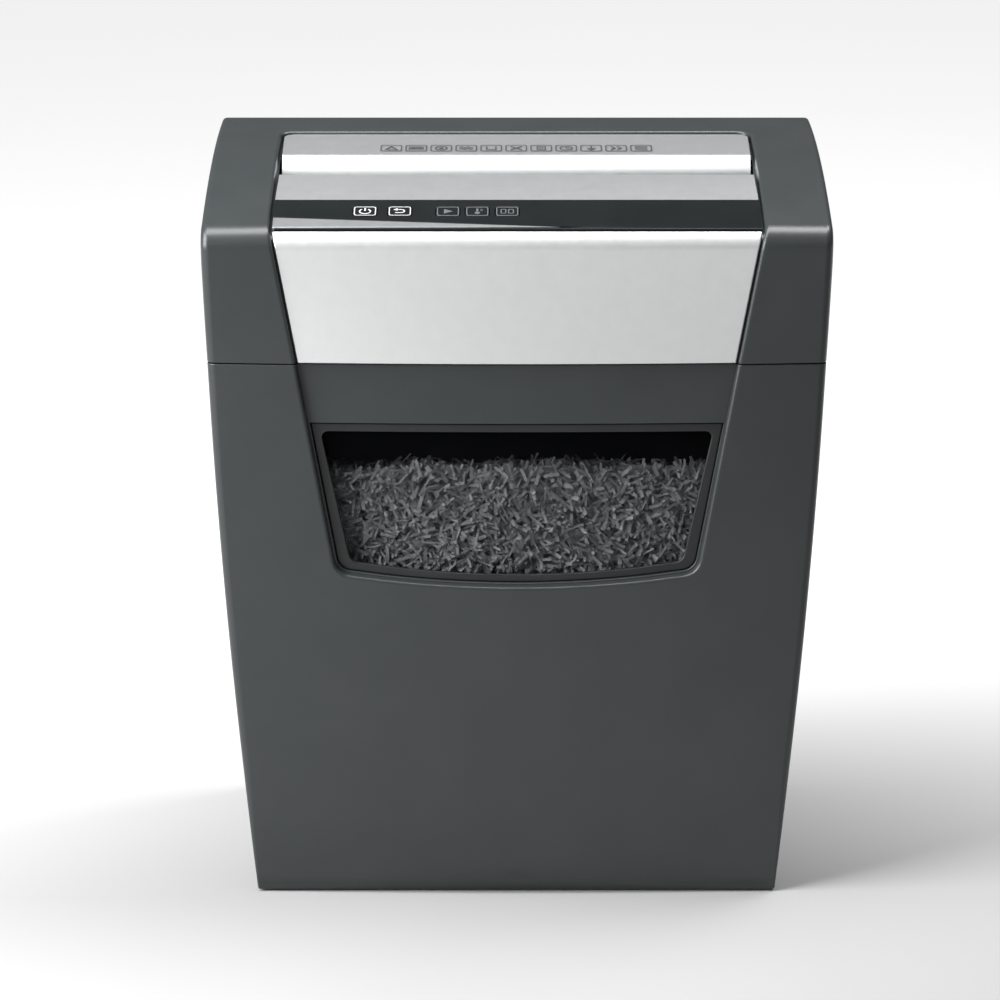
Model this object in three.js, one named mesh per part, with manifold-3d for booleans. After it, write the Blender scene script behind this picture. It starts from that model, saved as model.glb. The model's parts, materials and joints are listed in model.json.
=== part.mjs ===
// Cross-cut paper shredder: a lift-off cutting head on a tapered waste bin with a smoked window.
// Millimetres. +Z up, +X right, the front faces -Y. Origin: centre of the base, on the floor.
import * as THREE from "three";
import { mergeVertices } from "three/addons/utils/BufferGeometryUtils.js";
import Module from "manifold-3d";

const wasm = await Module();
wasm.setup();

// ---- Driving dimensions ----------------------------------------------------------------
const HALF_WIDTH = 173; // widest half width, at the shoulder
const HALF_DEPTH = 103;
const HEIGHT = 414;
const CORNER_R = 5; // vertical corners of the body
const SHOULDER_Z = 378; // above it the walls stand upright
const FRONT_SETBACK = 8; // how far the front falls back from shoulder to floor
const REAR_SETBACK = 5;
const BOW_AT_SPLIT = 7; // how far the middle of the front stands ahead of its ends
const BOW_AT_FLOOR = 4.3;
const CROWN_R = 650; // long arc of the top, seen from the side
const CROWN_APEX_Y = 90;
const BROW_R = 14; // rounding between the top and the front
const REAR_EDGE_R = 3;
const SPLIT_Z = 310.8; // parting line between head and bin
const SPLIT_GAP = 0.6;
const BIN_FLOOR_Z = 1.2; // underside of the bin
const BIN_WALL = 2.6;
const HEAD_WALL = 2.8;
const GAP = 0.4; // assembly gap between neighbouring pieces
const PAST = 20; // cutting bodies reach this far past what they cut

// Recess between the two front pillars
const PILLAR_TOP = { z: 384.5, half: 135 };
const PILLAR_LOW = { z: 200, half: 102.2 };
const RECESS_LOW_Z = 191; // where the rounded lower corners end
const RECESS_SAG = 7.4; // the lower edge dips this much in the middle
const BIN_RECESS = 4.5;
const WINDOW_RECESS = 8.5;
const WINDOW_FRAME_TOP_Z = 278;
const WINDOW_TOP = { z: 271.6, half: 108.8 };
const WINDOW_LOW = { z: 196.5, half: 92.8 };
const WINDOW_SAG = 7.2;
const WINDOW_REVEAL = 1.2; // the window frame's seat is this much smaller than the recess
const WINDOW_FRAME_T = 2.2;
const PANE_LAP = 4; // the pane reaches this far behind the frame's opening

// Top deck
const DECK_HALF = 135.6; // half width of the sunken deck in the head
const DECK_FRONT_Y = -96;
const DECK_MEETS_Z = 388; // the pillars' edges run into the deck's at this height
const DECK_REAR_Y = 57.5;
const DECK_R = 8;
const DECK_RECESS = 5.5;
const TRIM_HALF = 134;
const TRIM_RECESS = 1; // the silver and black trims lie this far under the crown
const REAR_LIP_Y = 11;
const FRONT_LIP_Y = -22;
const STRIP_REAR_Y = -59.6;
const TRIM_T = 2.4;
const FASCIA_RECESS = 2;
const FASCIA_TOP = { z: 388, half: 133.4 };
const FASCIA_LOW = { z: 311.3, half: 121.2 };
const FASCIA_END_Y = -95.2; // where the fascia meets the control strip, on the brow

// Paper slot and cutters
const SLOT_Y = [-6.2, -0.8];
const SLOT_HALF = 112;
const SLOT_LOW_Z = 373;
const SHAFT_Z = 350;
const SHAFT_SPACING = 36;
const SLOT_MID_Y = (SLOT_Y[0] + SLOT_Y[1]) / 2;
const FRONT_SHAFT_Y = SLOT_MID_Y - SHAFT_SPACING / 2;
const REAR_SHAFT_Y = SLOT_MID_Y + SHAFT_SPACING / 2;
const DISC_R = 20;
const DISC_W = 8.4;
const DISC_PITCH = 18;
const SPACER_R = 14.6;
const SHAFT_R = 6;
const PLATE_X = 118; // inner face of the side plates
const PLATE_T = 2;
const PLATE_TOP_Z = 386;

// Gear train and motor, on the right-hand side plate
const SYNC_TEETH = 18;
const SYNC_MODULE = SHAFT_SPACING / SYNC_TEETH;
const DRIVE_TEETH = 32;
const IDLER_SMALL_TEETH = 8;
const DRIVE_MODULE = 2;
const IDLER_BIG_TEETH = 32;
const PINION_TEETH = 8;
const PINION_MODULE = 1.5;
const MOTOR_Y = 68;
const MOTOR_R = 28;
const SYNC_X = [121.5, 129];
const DRIVE_X = [131, 138];
const BIG_X = [140.5, 146.5];

// Keys and indicators on the control strip
const KEY_Y = -74.5;
const KEY_SIZE = [12.9, 11.6];
const PAD_R = 2; // corners of the keys and of their windows
const KEY_XS = { power_key: -83.7, reverse_key: -64.5 };
const INDICATOR_XS = { indicator_ready: -38, indicator_cooling: -21.8, indicator_overload: -5.3 };

// ---- Materials -------------------------------------------------------------------------
const finish = (color, roughness, metalness) =>
  new THREE.MeshStandardMaterial({ color, roughness, metalness });
const charcoal = () => finish(0x464a4b, 0.45, 0);
const black = () => finish(0x15171a, 0.35, 0);
const silver = () => finish(0xb9bcbb, 0.38, 0.55);
const steel = () => finish(0xa5a8aa, 0.35, 1);
const hardenedSteel = () => finish(0x84878a, 0.3, 1);
const gearPlastic = () => finish(0xe6e2d6, 0.5, 0);
const rubber = () => finish(0x1c1c1c, 0.85, 0);
const smoked = () => finish(0x1a1d1f, 0.08, 0);
const board = () => finish(0x1f5a38, 0.55, 0);
const paper = () => finish(0xd8d8d2, 0.9, 0);
const glossBlack = () => finish(0x2a2d2f, 0.15, 0);
const bronze = () => finish(0xb08d57, 0.4, 1);
const redPlastic = () => finish(0xc8402c, 0.5, 0);

// ---- Solid helpers ---------------------------------------------------------------------
function solid(geometry) {
  const bare = geometry.clone();
  bare.deleteAttribute("normal");
  bare.deleteAttribute("uv");
  const merged = mergeVertices(bare, 1e-4);
  return new wasm.Manifold(
    new wasm.Mesh({
      numProp: 3,
      vertProperties: merged.attributes.position.array,
      triVerts: new Uint32Array(merged.index.array),
    }),
  );
}

const join = (first, ...rest) => rest.reduce((all, one) => all.add(one), first);

const object = new THREE.Group();

function piece(name, body, material) {
  const mesh = body.getMesh();
  const geometry = new THREE.BufferGeometry();
  geometry.setAttribute("position", new THREE.BufferAttribute(mesh.vertProperties, 3));
  geometry.setIndex(new THREE.BufferAttribute(mesh.triVerts, 1));
  geometry.computeVertexNormals();
  const made = new THREE.Mesh(geometry, material);
  made.name = name;
  object.add(made);
}

function extrude(shape, depth, steps = 1, curveSegments = 4) {
  return new THREE.ExtrudeGeometry(shape, { depth, steps, curveSegments, bevelEnabled: false });
}

// A plan outline (x, y), a front outline (x, z) or a side outline (y, z), made solid.
function alongZ(shape, z0, z1) {
  return solid(extrude(shape, z1 - z0).translate(0, 0, z0));
}

function alongY(shape, y0, y1) {
  return solid(extrude(shape, y1 - y0).rotateX(Math.PI / 2).translate(0, y1, 0));
}

const SIDE_TO_WORLD = new THREE.Matrix4().makeBasis(
  new THREE.Vector3(0, 1, 0),
  new THREE.Vector3(0, 0, 1),
  new THREE.Vector3(1, 0, 0),
);

function alongX(shape, x0, x1) {
  return solid(extrude(shape, x1 - x0).applyMatrix4(SIDE_TO_WORLD).translate(x0, 0, 0));
}

// A box from its lowest to its highest corner.
function box(low, high) {
  const size = high.map((value, axis) => value - low[axis]);
  const centre = high.map((value, axis) => (value + low[axis]) / 2);
  return solid(new THREE.BoxGeometry(...size).translate(...centre));
}

// A turned piece on an axis parallel to X through (y, z): profile points are [x, radius].
function turnedX(profile, y, z, segments = 16) {
  const points = profile.map(([x, radius]) => new THREE.Vector2(radius, x));
  const lathe = new THREE.LatheGeometry(points, segments);
  return solid(lathe.rotateZ(-Math.PI / 2).translate(0, y, z));
}

// A turned piece on a vertical axis through (x, y): profile points are [z, radius].
function turnedZ(profile, x, y, segments = 16) {
  const points = profile.map(([z, radius]) => new THREE.Vector2(radius, z));
  return solid(new THREE.LatheGeometry(points, segments).rotateX(Math.PI / 2).translate(x, y, 0));
}

const rod = (x0, x1, radius) => [[x0, 0], [x0, radius], [x1, radius], [x1, 0]];

// ---- Outlines --------------------------------------------------------------------------
// A polygon whose corners are rounded: points are [u, v, radius].
function roundedShape(corners) {
  const shape = new THREE.Shape();
  corners.forEach(([u, v, radius], i) => {
    const here = new THREE.Vector2(u, v);
    const before = new THREE.Vector2(...corners.at(i - 1).slice(0, 2));
    const after = new THREE.Vector2(...corners[(i + 1) % corners.length].slice(0, 2));
    const enter = before.sub(here).setLength(radius).add(here);
    const leave = after.sub(here).setLength(radius).add(here);
    if (i === 0) shape.moveTo(enter.x, enter.y);
    else shape.lineTo(enter.x, enter.y);
    if (radius > 0) shape.quadraticCurveTo(u, v, leave.x, leave.y);
  });
  return shape;
}

// A shield seen from the front: straight sides that close in downwards, and a sagging lower edge.
function shield(top, low, sag, topR, lowR) {
  const shape = new THREE.Shape();
  const side = new THREE.Vector2(top.half - low.half, top.z - low.z).setLength(lowR);
  shape.moveTo(low.half - lowR, low.z);
  shape.quadraticCurveTo(low.half, low.z, low.half + side.x, low.z + side.y);
  shape.lineTo(top.half - side.x * (topR / lowR), top.z - topR);
  shape.quadraticCurveTo(top.half, top.z, top.half - topR, top.z);
  shape.lineTo(topR - top.half, top.z);
  shape.quadraticCurveTo(-top.half, top.z, side.x * (topR / lowR) - top.half, top.z - topR);
  shape.lineTo(-low.half - side.x, low.z + side.y);
  shape.quadraticCurveTo(-low.half, low.z, lowR - low.half, low.z);
  shape.quadraticCurveTo(0, low.z - 2 * sag, low.half - lowR, low.z);
  return shape;
}

const pillarSlope = (PILLAR_TOP.half - PILLAR_LOW.half) / (PILLAR_TOP.z - PILLAR_LOW.z);
const pillarHalf = (z) => PILLAR_LOW.half + pillarSlope * (z - PILLAR_LOW.z);

// The recess between the pillars, up to topZ, its edge moved outwards by grow.
function recessOutline(topZ, grow) {
  return shield(
    { z: topZ, half: pillarHalf(topZ) + grow },
    { z: RECESS_LOW_Z - grow, half: pillarHalf(RECESS_LOW_Z) + grow },
    RECESS_SAG,
    0.01,
    9,
  );
}

function windowOutline(grow) {
  return shield(
    { z: WINDOW_TOP.z + grow, half: WINDOW_TOP.half + grow },
    { z: WINDOW_LOW.z - grow, half: WINDOW_LOW.half + grow },
    WINDOW_SAG,
    4 + grow,
    5 + grow,
  );
}

// Side view of the top, set in by inset: crown arc, brow, front, and down to lowZ.
function crownZ(y, inset = 0) {
  return HEIGHT - inset - (CROWN_APEX_Y - y) ** 2 / (2 * CROWN_R);
}

const BROW_Y = -HALF_DEPTH + BROW_R;
const BROW_Z = crownZ(BROW_Y) - BROW_R;

function crownOutline(inset, lowZ) {
  const shape = new THREE.Shape();
  const rear = HALF_DEPTH - inset;
  const spans = 8;
  shape.moveTo(-HALF_DEPTH + inset, lowZ);
  shape.lineTo(rear, lowZ);
  shape.lineTo(rear, crownZ(HALF_DEPTH, inset) - REAR_EDGE_R);
  shape.lineTo(rear - REAR_EDGE_R * 0.3, crownZ(HALF_DEPTH, inset) - REAR_EDGE_R * 0.3);
  shape.lineTo(rear - REAR_EDGE_R, crownZ(rear - REAR_EDGE_R, inset));
  for (let i = 0; i <= spans; i++) {
    const y = THREE.MathUtils.lerp(CROWN_APEX_Y, BROW_Y, i / spans);
    shape.lineTo(y, crownZ(y, inset));
  }
  shape.absarc(BROW_Y, BROW_Z, BROW_R - inset, Math.PI * 0.55, Math.PI, false);
  return shape;
}

// ---- The tapered, bowed body -----------------------------------------------------------
function halfWidth(z) {
  const below = Math.max(0, SHOULDER_Z - 8 - z);
  return HALF_WIDTH - 0.0273 * below - 0.0001134 * below ** 2;
}

const fallen = (z) => Math.max(0, SHOULDER_Z - z) / SHOULDER_Z;

function frontBow(z) {
  if (z > SPLIT_Z) return (BOW_AT_SPLIT * Math.max(0, SHOULDER_Z - z)) / (SHOULDER_Z - SPLIT_Z);
  return THREE.MathUtils.lerp(BOW_AT_FLOOR, BOW_AT_SPLIT, z / SPLIT_Z);
}

// Plan outline at the shoulder, set in by inset; its front is cut into spans for the bow.
function planOutline(inset, spans) {
  const half = HALF_WIDTH - inset;
  const depth = HALF_DEPTH - inset;
  const r = Math.max(CORNER_R - inset, 1);
  const shape = new THREE.Shape();
  shape.moveTo(r - half, -depth);
  for (let i = 1; i <= spans; i++) shape.lineTo((r - half) * (1 - (2 * i) / spans), -depth);
  shape.absarc(half - r, r - depth, r, -Math.PI / 2, 0, false);
  shape.absarc(half - r, depth - r, r, 0, Math.PI / 2, false);
  shape.absarc(r - half, depth - r, r, Math.PI / 2, Math.PI, false);
  shape.absarc(r - half, r - depth, r, Math.PI, Math.PI * 1.5, false);
  return shape;
}

// The body between two heights, set in by inset on every side wall.
function bodyBlank(inset, z0, z1, steps, spans = 8) {
  const plan = planOutline(inset, spans);
  const geometry = extrude(plan, z1 - z0, steps, 2).translate(0, 0, z0);
  const place = geometry.attributes.position;
  for (let i = 0; i < place.count; i++) {
    const [x, y, z] = [place.getX(i), place.getY(i), place.getZ(i)];
    const across = x / (HALF_WIDTH - inset);
    place.setX(i, across * (halfWidth(z) - inset));
    const back = FRONT_SETBACK * fallen(z) ** 2 + frontBow(z) * across ** 2;
    place.setY(i, y < 0 ? y + back : y - REAR_SETBACK * fallen(z) ** 2);
  }
  return solid(geometry);
}

const HEAD_LOW_Z = SPLIT_Z + SPLIT_GAP / 2;
const BIN_TOP_Z = SPLIT_Z - SPLIT_GAP / 2;

const binBlank = (inset, z0 = BIN_FLOOR_Z, z1 = BIN_TOP_Z) => bodyBlank(inset, z0, z1, 4);

// The head's blank: leaning walls up to the shoulder, upright above, under the crown.
function headBlank(inset, lowZ = HEAD_LOW_Z) {
  const walls = join(
    bodyBlank(inset, lowZ, SHOULDER_Z, 2),
    bodyBlank(inset, SHOULDER_Z, HEIGHT + 5, 1),
  );
  return walls.intersect(alongX(crownOutline(inset, lowZ - 1), -HALF_WIDTH - 5, HALF_WIDTH + 5));
}

function deckOutline(grow) {
  const half = DECK_HALF + grow;
  const rear = DECK_REAR_Y + grow;
  return roundedShape([
    [-half, DECK_FRONT_Y, 0],
    [half, DECK_FRONT_Y, 0],
    [half, rear, DECK_R],
    [-half, rear, DECK_R],
  ]);
}

// ---- Bin -------------------------------------------------------------------------------
const FRONT_REACH = [-HALF_DEPTH - 10, -60];

const frameZone = (grow) =>
  alongY(recessOutline(WINDOW_FRAME_TOP_Z + grow, grow), ...FRONT_REACH);

// The rib that presses the head's interlock plunger while the head is on.
const STRIKER = [[140, 88, 284], [146, 101, 308.4]];

function makeBinShell() {
  const recess = (grow, depth) =>
    alongY(recessOutline(BIN_TOP_Z + PAST, grow), ...FRONT_REACH).subtract(
      binBlank(depth, BIN_FLOOR_Z - 1, BIN_TOP_Z + PAST + 1),
    );
  const windowWell = (grow, depth) =>
    frameZone(grow).subtract(binBlank(depth, BIN_FLOOR_Z - 1, BIN_TOP_Z + PAST));
  const inside = binBlank(BIN_WALL, BIN_FLOOR_Z + BIN_WALL, BIN_TOP_Z + PAST)
    .subtract(recess(BIN_WALL, BIN_RECESS + BIN_WALL))
    .subtract(windowWell(BIN_WALL, WINDOW_RECESS + BIN_WALL));
  return binBlank(0)
    .subtract(recess(0, BIN_RECESS))
    .subtract(windowWell(-WINDOW_REVEAL, WINDOW_RECESS))
    .subtract(inside)
    .subtract(alongY(windowOutline(PANE_LAP), ...FRONT_REACH))
    .add(box(...STRIKER).subtract(binBlank(-1).subtract(binBlank(BIN_WALL / 2))));
}

piece("bin_shell", makeBinShell(), charcoal());

const WINDOW_SPAN = [150, 300]; // heights that hold the whole window

const windowSlab = (front, back) =>
  binBlank(front, ...WINDOW_SPAN).subtract(
    binBlank(back, WINDOW_SPAN[0] - PAST, WINDOW_SPAN[1] + PAST),
  );

piece(
  "window_frame",
  windowSlab(WINDOW_RECESS - GAP - WINDOW_FRAME_T, WINDOW_RECESS - GAP)
    .intersect(frameZone(-WINDOW_REVEAL - GAP))
    .subtract(alongY(windowOutline(0), ...FRONT_REACH)),
  black(),
);

piece(
  "window_pane",
  windowSlab(WINDOW_RECESS, WINDOW_RECESS + BIN_WALL).intersect(
    alongY(windowOutline(PANE_LAP - GAP), ...FRONT_REACH),
  ),
  smoked(),
);

// Heap of shreds: a mound with a thin skin, open underneath so that it weighs what loose shreds weigh.
const HEAP_TOP_Z = 256;
const HEAP_SKIN = 8;
const HEAP_CLEAR = 1;
const HEAP_BACK = 3; // the heap's front leans this far off the pane

function heapBlank(inset, lowZ) {
  const front = WINDOW_RECESS + BIN_WALL + HEAP_CLEAR;
  const heapTop = HEAP_TOP_Z - inset;
  const walls = bodyBlank(BIN_WALL + HEAP_CLEAR + inset, lowZ, heapTop, 2, 4);
  const behindPane = bodyBlank(front + inset, lowZ - 1, heapTop + 1, 2, 4);
  return walls.intersect(behindPane.translate(0, HEAP_BACK, 0));
}

piece(
  "paper_heap",
  heapBlank(0, BIN_FLOOR_Z + BIN_WALL + GAP).subtract(heapBlank(HEAP_SKIN, BIN_FLOOR_Z)),
  paper(),
);

const FOOT_R = 9;
const FOOT_XS = { left: -118, right: 118 };
const FOOT_YS = { front: -64, rear: 78 };
for (const [rowName, y] of Object.entries(FOOT_YS)) {
  for (const [sideName, x] of Object.entries(FOOT_XS)) {
    const foot = turnedZ(rod(0, BIN_FLOOR_Z - 0.3, FOOT_R), x, y, 20);
    piece(`foot_${rowName}_${sideName}`, foot, rubber());
  }
}

// ---- Head covers -----------------------------------------------------------------------
const BOSSES = [[-159, -66], [159, -66], [-159, 84], [159, 84]];
const BOSS_R = 4;
const PILOT = { r: 2.1, depth: 16 };
const BASE_Z = [HEAD_LOW_Z + 0.6, HEAD_LOW_Z + 3.6];
const GLAND = { x: -140, z: 334, r: 8 };
const PLUNGER = { x: 143, y: 92.5, r: 2 };
const VENTS = { first: 26, last: 106, step: 10, width: 3.2, z: [336, 366] };
const KEY_WELL = { x: [-96, 8], depth: 18 };

const headRecess = (grow, depth) =>
  alongY(recessOutline(DECK_MEETS_Z, grow), ...FRONT_REACH)
    .add(alongZ(deckOutline(grow), SHOULDER_Z - 6, HEIGHT + PAST))
    .subtract(headBlank(depth, HEAD_LOW_Z - PAST));

function makeHeadShell() {
  const inside = headBlank(HEAD_WALL, HEAD_LOW_Z - 5).subtract(
    headRecess(HEAD_WALL, DECK_RECESS + HEAD_WALL),
  );
  const throatHalf = DECK_HALF - 1;
  const throat = box(
    [-throatHalf, FRONT_LIP_Y - 6, SHOULDER_Z],
    [throatHalf, REAR_LIP_Y + 4, HEIGHT + PAST],
  );
  const keyWell = box(
    [KEY_WELL.x[0], KEY_Y - KEY_WELL.depth / 2, SHOULDER_Z - PAST],
    [KEY_WELL.x[1], KEY_Y + KEY_WELL.depth / 2, HEIGHT],
  );
  let shell = headBlank(0).subtract(headRecess(0, DECK_RECESS)).subtract(inside);
  shell = shell.subtract(throat).subtract(keyWell);
  for (let x = VENTS.first; x <= VENTS.last; x += VENTS.step) {
    const low = [x, HALF_DEPTH - 8, VENTS.z[0]];
    shell = shell.subtract(box(low, [x + VENTS.width, HALF_DEPTH + PAST, VENTS.z[1]]));
  }
  const glandHole = new THREE.CylinderGeometry(GLAND.r + GAP, GLAND.r + GAP, PAST, 16);
  shell = shell.subtract(solid(glandHole.translate(GLAND.x, HALF_DEPTH, GLAND.z)));
  for (const [x, y] of BOSSES) {
    const post = turnedZ(rod(BASE_Z[1] + GAP, crownZ(y) - 1, BOSS_R), x, y, 8);
    const hole = turnedZ(rod(BASE_Z[1], BASE_Z[1] + PILOT.depth, PILOT.r), x, y, 8);
    shell = shell.add(post).subtract(hole);
  }
  return shell;
}

piece("head_shell", makeHeadShell(), charcoal());

// A trim plate that follows the crown and brow between two depths.
const trimSlab = (front, back) =>
  headBlank(front, HEAD_LOW_Z - 1).subtract(headBlank(back, HEAD_LOW_Z - PAST));

function makeFascia() {
  const outline = roundedShape([
    [-FASCIA_LOW.half, FASCIA_LOW.z, 0],
    [FASCIA_LOW.half, FASCIA_LOW.z, 0],
    [FASCIA_TOP.half, FASCIA_TOP.z, 0],
    [-FASCIA_TOP.half, FASCIA_TOP.z, 0],
  ]);
  return trimSlab(FASCIA_RECESS, DECK_RECESS - GAP)
    .intersect(alongY(outline, -HALF_DEPTH - PAST, -HALF_DEPTH + PAST))
    .subtract(box([-HALF_WIDTH, FASCIA_END_Y, SHOULDER_Z], [HALF_WIDTH, 0, HEIGHT]));
}

piece("front_fascia", makeFascia(), silver());

// Keys and indicator lenses stand in windows of the control strip, square to its slope.
const KEY_SLOPE = Math.atan((CROWN_APEX_Y - KEY_Y) / CROWN_R);

// A solid made on a level plane, z measured from the crown, laid on the slope at (x, KEY_Y).
function onStrip(geometry, x) {
  return solid(geometry.rotateX(KEY_SLOPE).translate(x, KEY_Y, crownZ(KEY_Y)));
}

function padGeometry(z0, z1, grow) {
  const [w, h] = KEY_SIZE.map((size) => size / 2 + grow);
  const outline = roundedShape([[-w, -h, PAD_R], [w, -h, PAD_R], [w, h, PAD_R], [-w, h, PAD_R]]);
  return extrude(outline, z1 - z0, 1, 3).translate(0, 0, z0);
}

const STRIP_RECESS = TRIM_RECESS + 0.2;
const STRIP_END_Y = FASCIA_END_Y + GAP;
const TRIM_REACH = [SHOULDER_Z - PAST, HEIGHT]; // heights that hold every trim plate
const WEDGE = { endX: 24, rise: 1.5, width: 12.4, tip: 30 };
const PAD_LOW = -4; // underside of the keys and lenses, from the crown
const KEY_FACE = -TRIM_RECESS - 0.1;
const LENS_FACE = -TRIM_RECESS - 0.25;
const STEM = { r: 2, length: 3, z: -5.4 };

// The tapered silver sliver under the strip: thick at the left end, gone right of the middle.
const wedgeOutline = (grow) =>
  roundedShape([
    [-TRIM_HALF - grow, STRIP_END_Y - grow, 0],
    [WEDGE.endX + WEDGE.tip * grow, STRIP_END_Y + WEDGE.rise - grow, 0],
    [-TRIM_HALF - grow, STRIP_END_Y + WEDGE.width + grow, 0],
  ]);

function makeStrip() {
  const span = box(
    [-TRIM_HALF, STRIP_END_Y, TRIM_REACH[0]],
    [TRIM_HALF, STRIP_REAR_Y, TRIM_REACH[1]],
  );
  let strip = trimSlab(STRIP_RECESS, TRIM_RECESS + TRIM_T).intersect(span);
  strip = strip.subtract(alongZ(wedgeOutline(GAP), ...TRIM_REACH));
  for (const x of Object.values({ ...KEY_XS, ...INDICATOR_XS })) {
    strip = strip.subtract(onStrip(padGeometry(-PAST / 2, PAST / 2, GAP), x));
  }
  return strip;
}

piece("control_strip", makeStrip(), glossBlack());
piece(
  "accent_trim",
  trimSlab(TRIM_RECESS, TRIM_RECESS + TRIM_T).intersect(alongZ(wedgeOutline(0), ...TRIM_REACH)),
  silver(),
);

for (const [name, x] of Object.entries(KEY_XS)) {
  const stem = new THREE.CylinderGeometry(STEM.r, STEM.r, STEM.length, 12).rotateX(Math.PI / 2);
  const key = onStrip(padGeometry(PAD_LOW, KEY_FACE, 0), x);
  piece(name, key.add(onStrip(stem.translate(0, 0, STEM.z), x)), glossBlack());
}
for (const [name, x] of Object.entries(INDICATOR_XS)) {
  piece(name, onStrip(padGeometry(PAD_LOW, LENS_FACE, 0), x), glossBlack());
}

const DECK_MARGIN = 1.2; // between the rear chute and the deck's edge
const CHUTE_REAR_Y = DECK_REAR_Y - DECK_MARGIN;
const CHUTE_SKIN = 2.2; // thickness of the chutes' guides in the slot
const FUNNEL_Z = 390; // top of the straight part of the slot
const GUIDE_HALF = SLOT_HALF + 4;

// A chute's outline made solid: the lip has the full width, the guide below it only the slot's.
function chute(outline) {
  const full = alongX(outline, -TRIM_HALF, TRIM_HALF);
  const aside = [-1, 1].map((side) => {
    const xs = [side * GUIDE_HALF, side * (TRIM_HALF + 1)].sort((a, b) => a - b);
    const ys = [FRONT_LIP_Y - PAST, REAR_LIP_Y + PAST];
    return box([xs[0], ys[0], SLOT_LOW_Z - 1], [xs[1], ys[1], FUNNEL_Z + 0.5]);
  });
  return full.subtract(join(...aside));
}

function frontChuteOutline() {
  const shape = new THREE.Shape();
  const top = (y) => crownZ(y, TRIM_RECESS);
  const first = STRIP_REAR_Y + GAP;
  const last = FRONT_LIP_Y - 2;
  shape.moveTo(first, top(first) - TRIM_T);
  shape.lineTo(last, top(last) - TRIM_T);
  shape.lineTo(SLOT_Y[0] - CHUTE_SKIN, FUNNEL_Z - 1);
  shape.lineTo(SLOT_Y[0] - CHUTE_SKIN, SLOT_LOW_Z);
  shape.lineTo(SLOT_Y[0], SLOT_LOW_Z);
  shape.lineTo(SLOT_Y[0], FUNNEL_Z);
  shape.lineTo(FRONT_LIP_Y + 1.4, top(FRONT_LIP_Y) - 2.4);
  shape.quadraticCurveTo(FRONT_LIP_Y, top(FRONT_LIP_Y), last, top(last));
  for (let i = 1; i <= 3; i++) {
    const y = THREE.MathUtils.lerp(last, first, i / 3);
    shape.lineTo(y, top(y));
  }
  return shape;
}

function rearChuteOutline() {
  const shape = new THREE.Shape();
  const top = (y) => crownZ(y, TRIM_RECESS);
  const last = CHUTE_REAR_Y;
  shape.moveTo(SLOT_Y[1] + CHUTE_SKIN, SLOT_LOW_Z);
  shape.lineTo(SLOT_Y[1] + CHUTE_SKIN + 0.4, FUNNEL_Z);
  shape.lineTo(SLOT_Y[1] + 4.2, FUNNEL_Z + 6.4);
  shape.lineTo(REAR_LIP_Y + 4, top(REAR_LIP_Y) - TRIM_T - 1);
  shape.lineTo(last, top(last) - TRIM_T);
  shape.lineTo(last, top(last));
  for (let i = 1; i <= 3; i++) {
    const y = THREE.MathUtils.lerp(last, REAR_LIP_Y + 2, i / 3);
    shape.lineTo(y, top(y));
  }
  shape.quadraticCurveTo(REAR_LIP_Y, top(REAR_LIP_Y), REAR_LIP_Y - 1.4, top(REAR_LIP_Y) - 1.8);
  shape.quadraticCurveTo(SLOT_Y[1] + 1.4, FUNNEL_Z + 9, SLOT_Y[1], FUNNEL_Z);
  shape.lineTo(SLOT_Y[1], SLOT_LOW_Z);
  return shape;
}

// Blocks that close the slot outside the paper's width, and the funnel's floor beyond them.
const slotEnds = join(
  ...[-1, 1].flatMap((side) => {
    const block = [side * SLOT_HALF, side * (SLOT_HALF + 3.5)].sort((a, b) => a - b);
    const floor = [side * SLOT_HALF, side * TRIM_HALF].sort((a, b) => a - b);
    return [
      box([block[0], SLOT_Y[0] + GAP, SLOT_LOW_Z], [block[1], SLOT_Y[1] + 1, FUNNEL_Z + 2]),
      box([floor[0], SLOT_Y[0] + GAP, FUNNEL_Z + 0.6], [floor[1], SLOT_Y[1] + 1, FUNNEL_Z + 2.6]),
    ];
  }),
);
piece("front_chute", chute(frontChuteOutline()), silver());

// The rear chute's far corners are rounded like the deck's.
const rearChutePlan = roundedShape([
  [-TRIM_HALF, FRONT_LIP_Y, 0],
  [TRIM_HALF, FRONT_LIP_Y, 0],
  [TRIM_HALF, CHUTE_REAR_Y, DECK_R - DECK_MARGIN],
  [-TRIM_HALF, CHUTE_REAR_Y, DECK_R - DECK_MARGIN],
]);
piece(
  "rear_chute",
  chute(rearChuteOutline()).intersect(alongZ(rearChutePlan, SLOT_LOW_Z, HEIGHT)).add(slotEnds),
  silver(),
);

// ---- Head base and cutter frame --------------------------------------------------------
const OUTLET = { half: 114, y: [-34, 27] };
const SKIRT = { inset: [18, 20.5], drop: 12 };
const SCREW_R = 1.7;

function makeHeadBase() {
  const edge = HEAD_WALL + 0.5;
  const cutZ = [BASE_Z[0] - PAST, BASE_Z[1] + PAST];
  const plate = bodyBlank(edge, ...BASE_Z, 1).subtract(
    alongY(recessOutline(PILLAR_TOP.z, edge), ...FRONT_REACH).subtract(
      bodyBlank(DECK_RECESS + edge, ...cutZ, 1),
    ),
  );
  const skirt = bodyBlank(SKIRT.inset[0], BIN_TOP_Z - SKIRT.drop, BASE_Z[0] + 1, 1).subtract(
    bodyBlank(SKIRT.inset[1], ...cutZ, 1),
  );
  let base = plate.add(skirt);
  base = base.subtract(
    box([-OUTLET.half, OUTLET.y[0], cutZ[0]], [OUTLET.half, OUTLET.y[1], cutZ[1]]),
  );
  for (const [x, y] of BOSSES) {
    base = base.subtract(turnedZ(rod(...cutZ, SCREW_R + 0.6), x, y, 8));
  }
  const { x, y } = PLUNGER;
  const hole = PLUNGER.r + 0.6;
  return base.subtract(box([x - hole, y - hole, cutZ[0]], [x + hole, y + hole, cutZ[1]]));
}

piece("head_base", makeHeadBase(), black());

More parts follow.
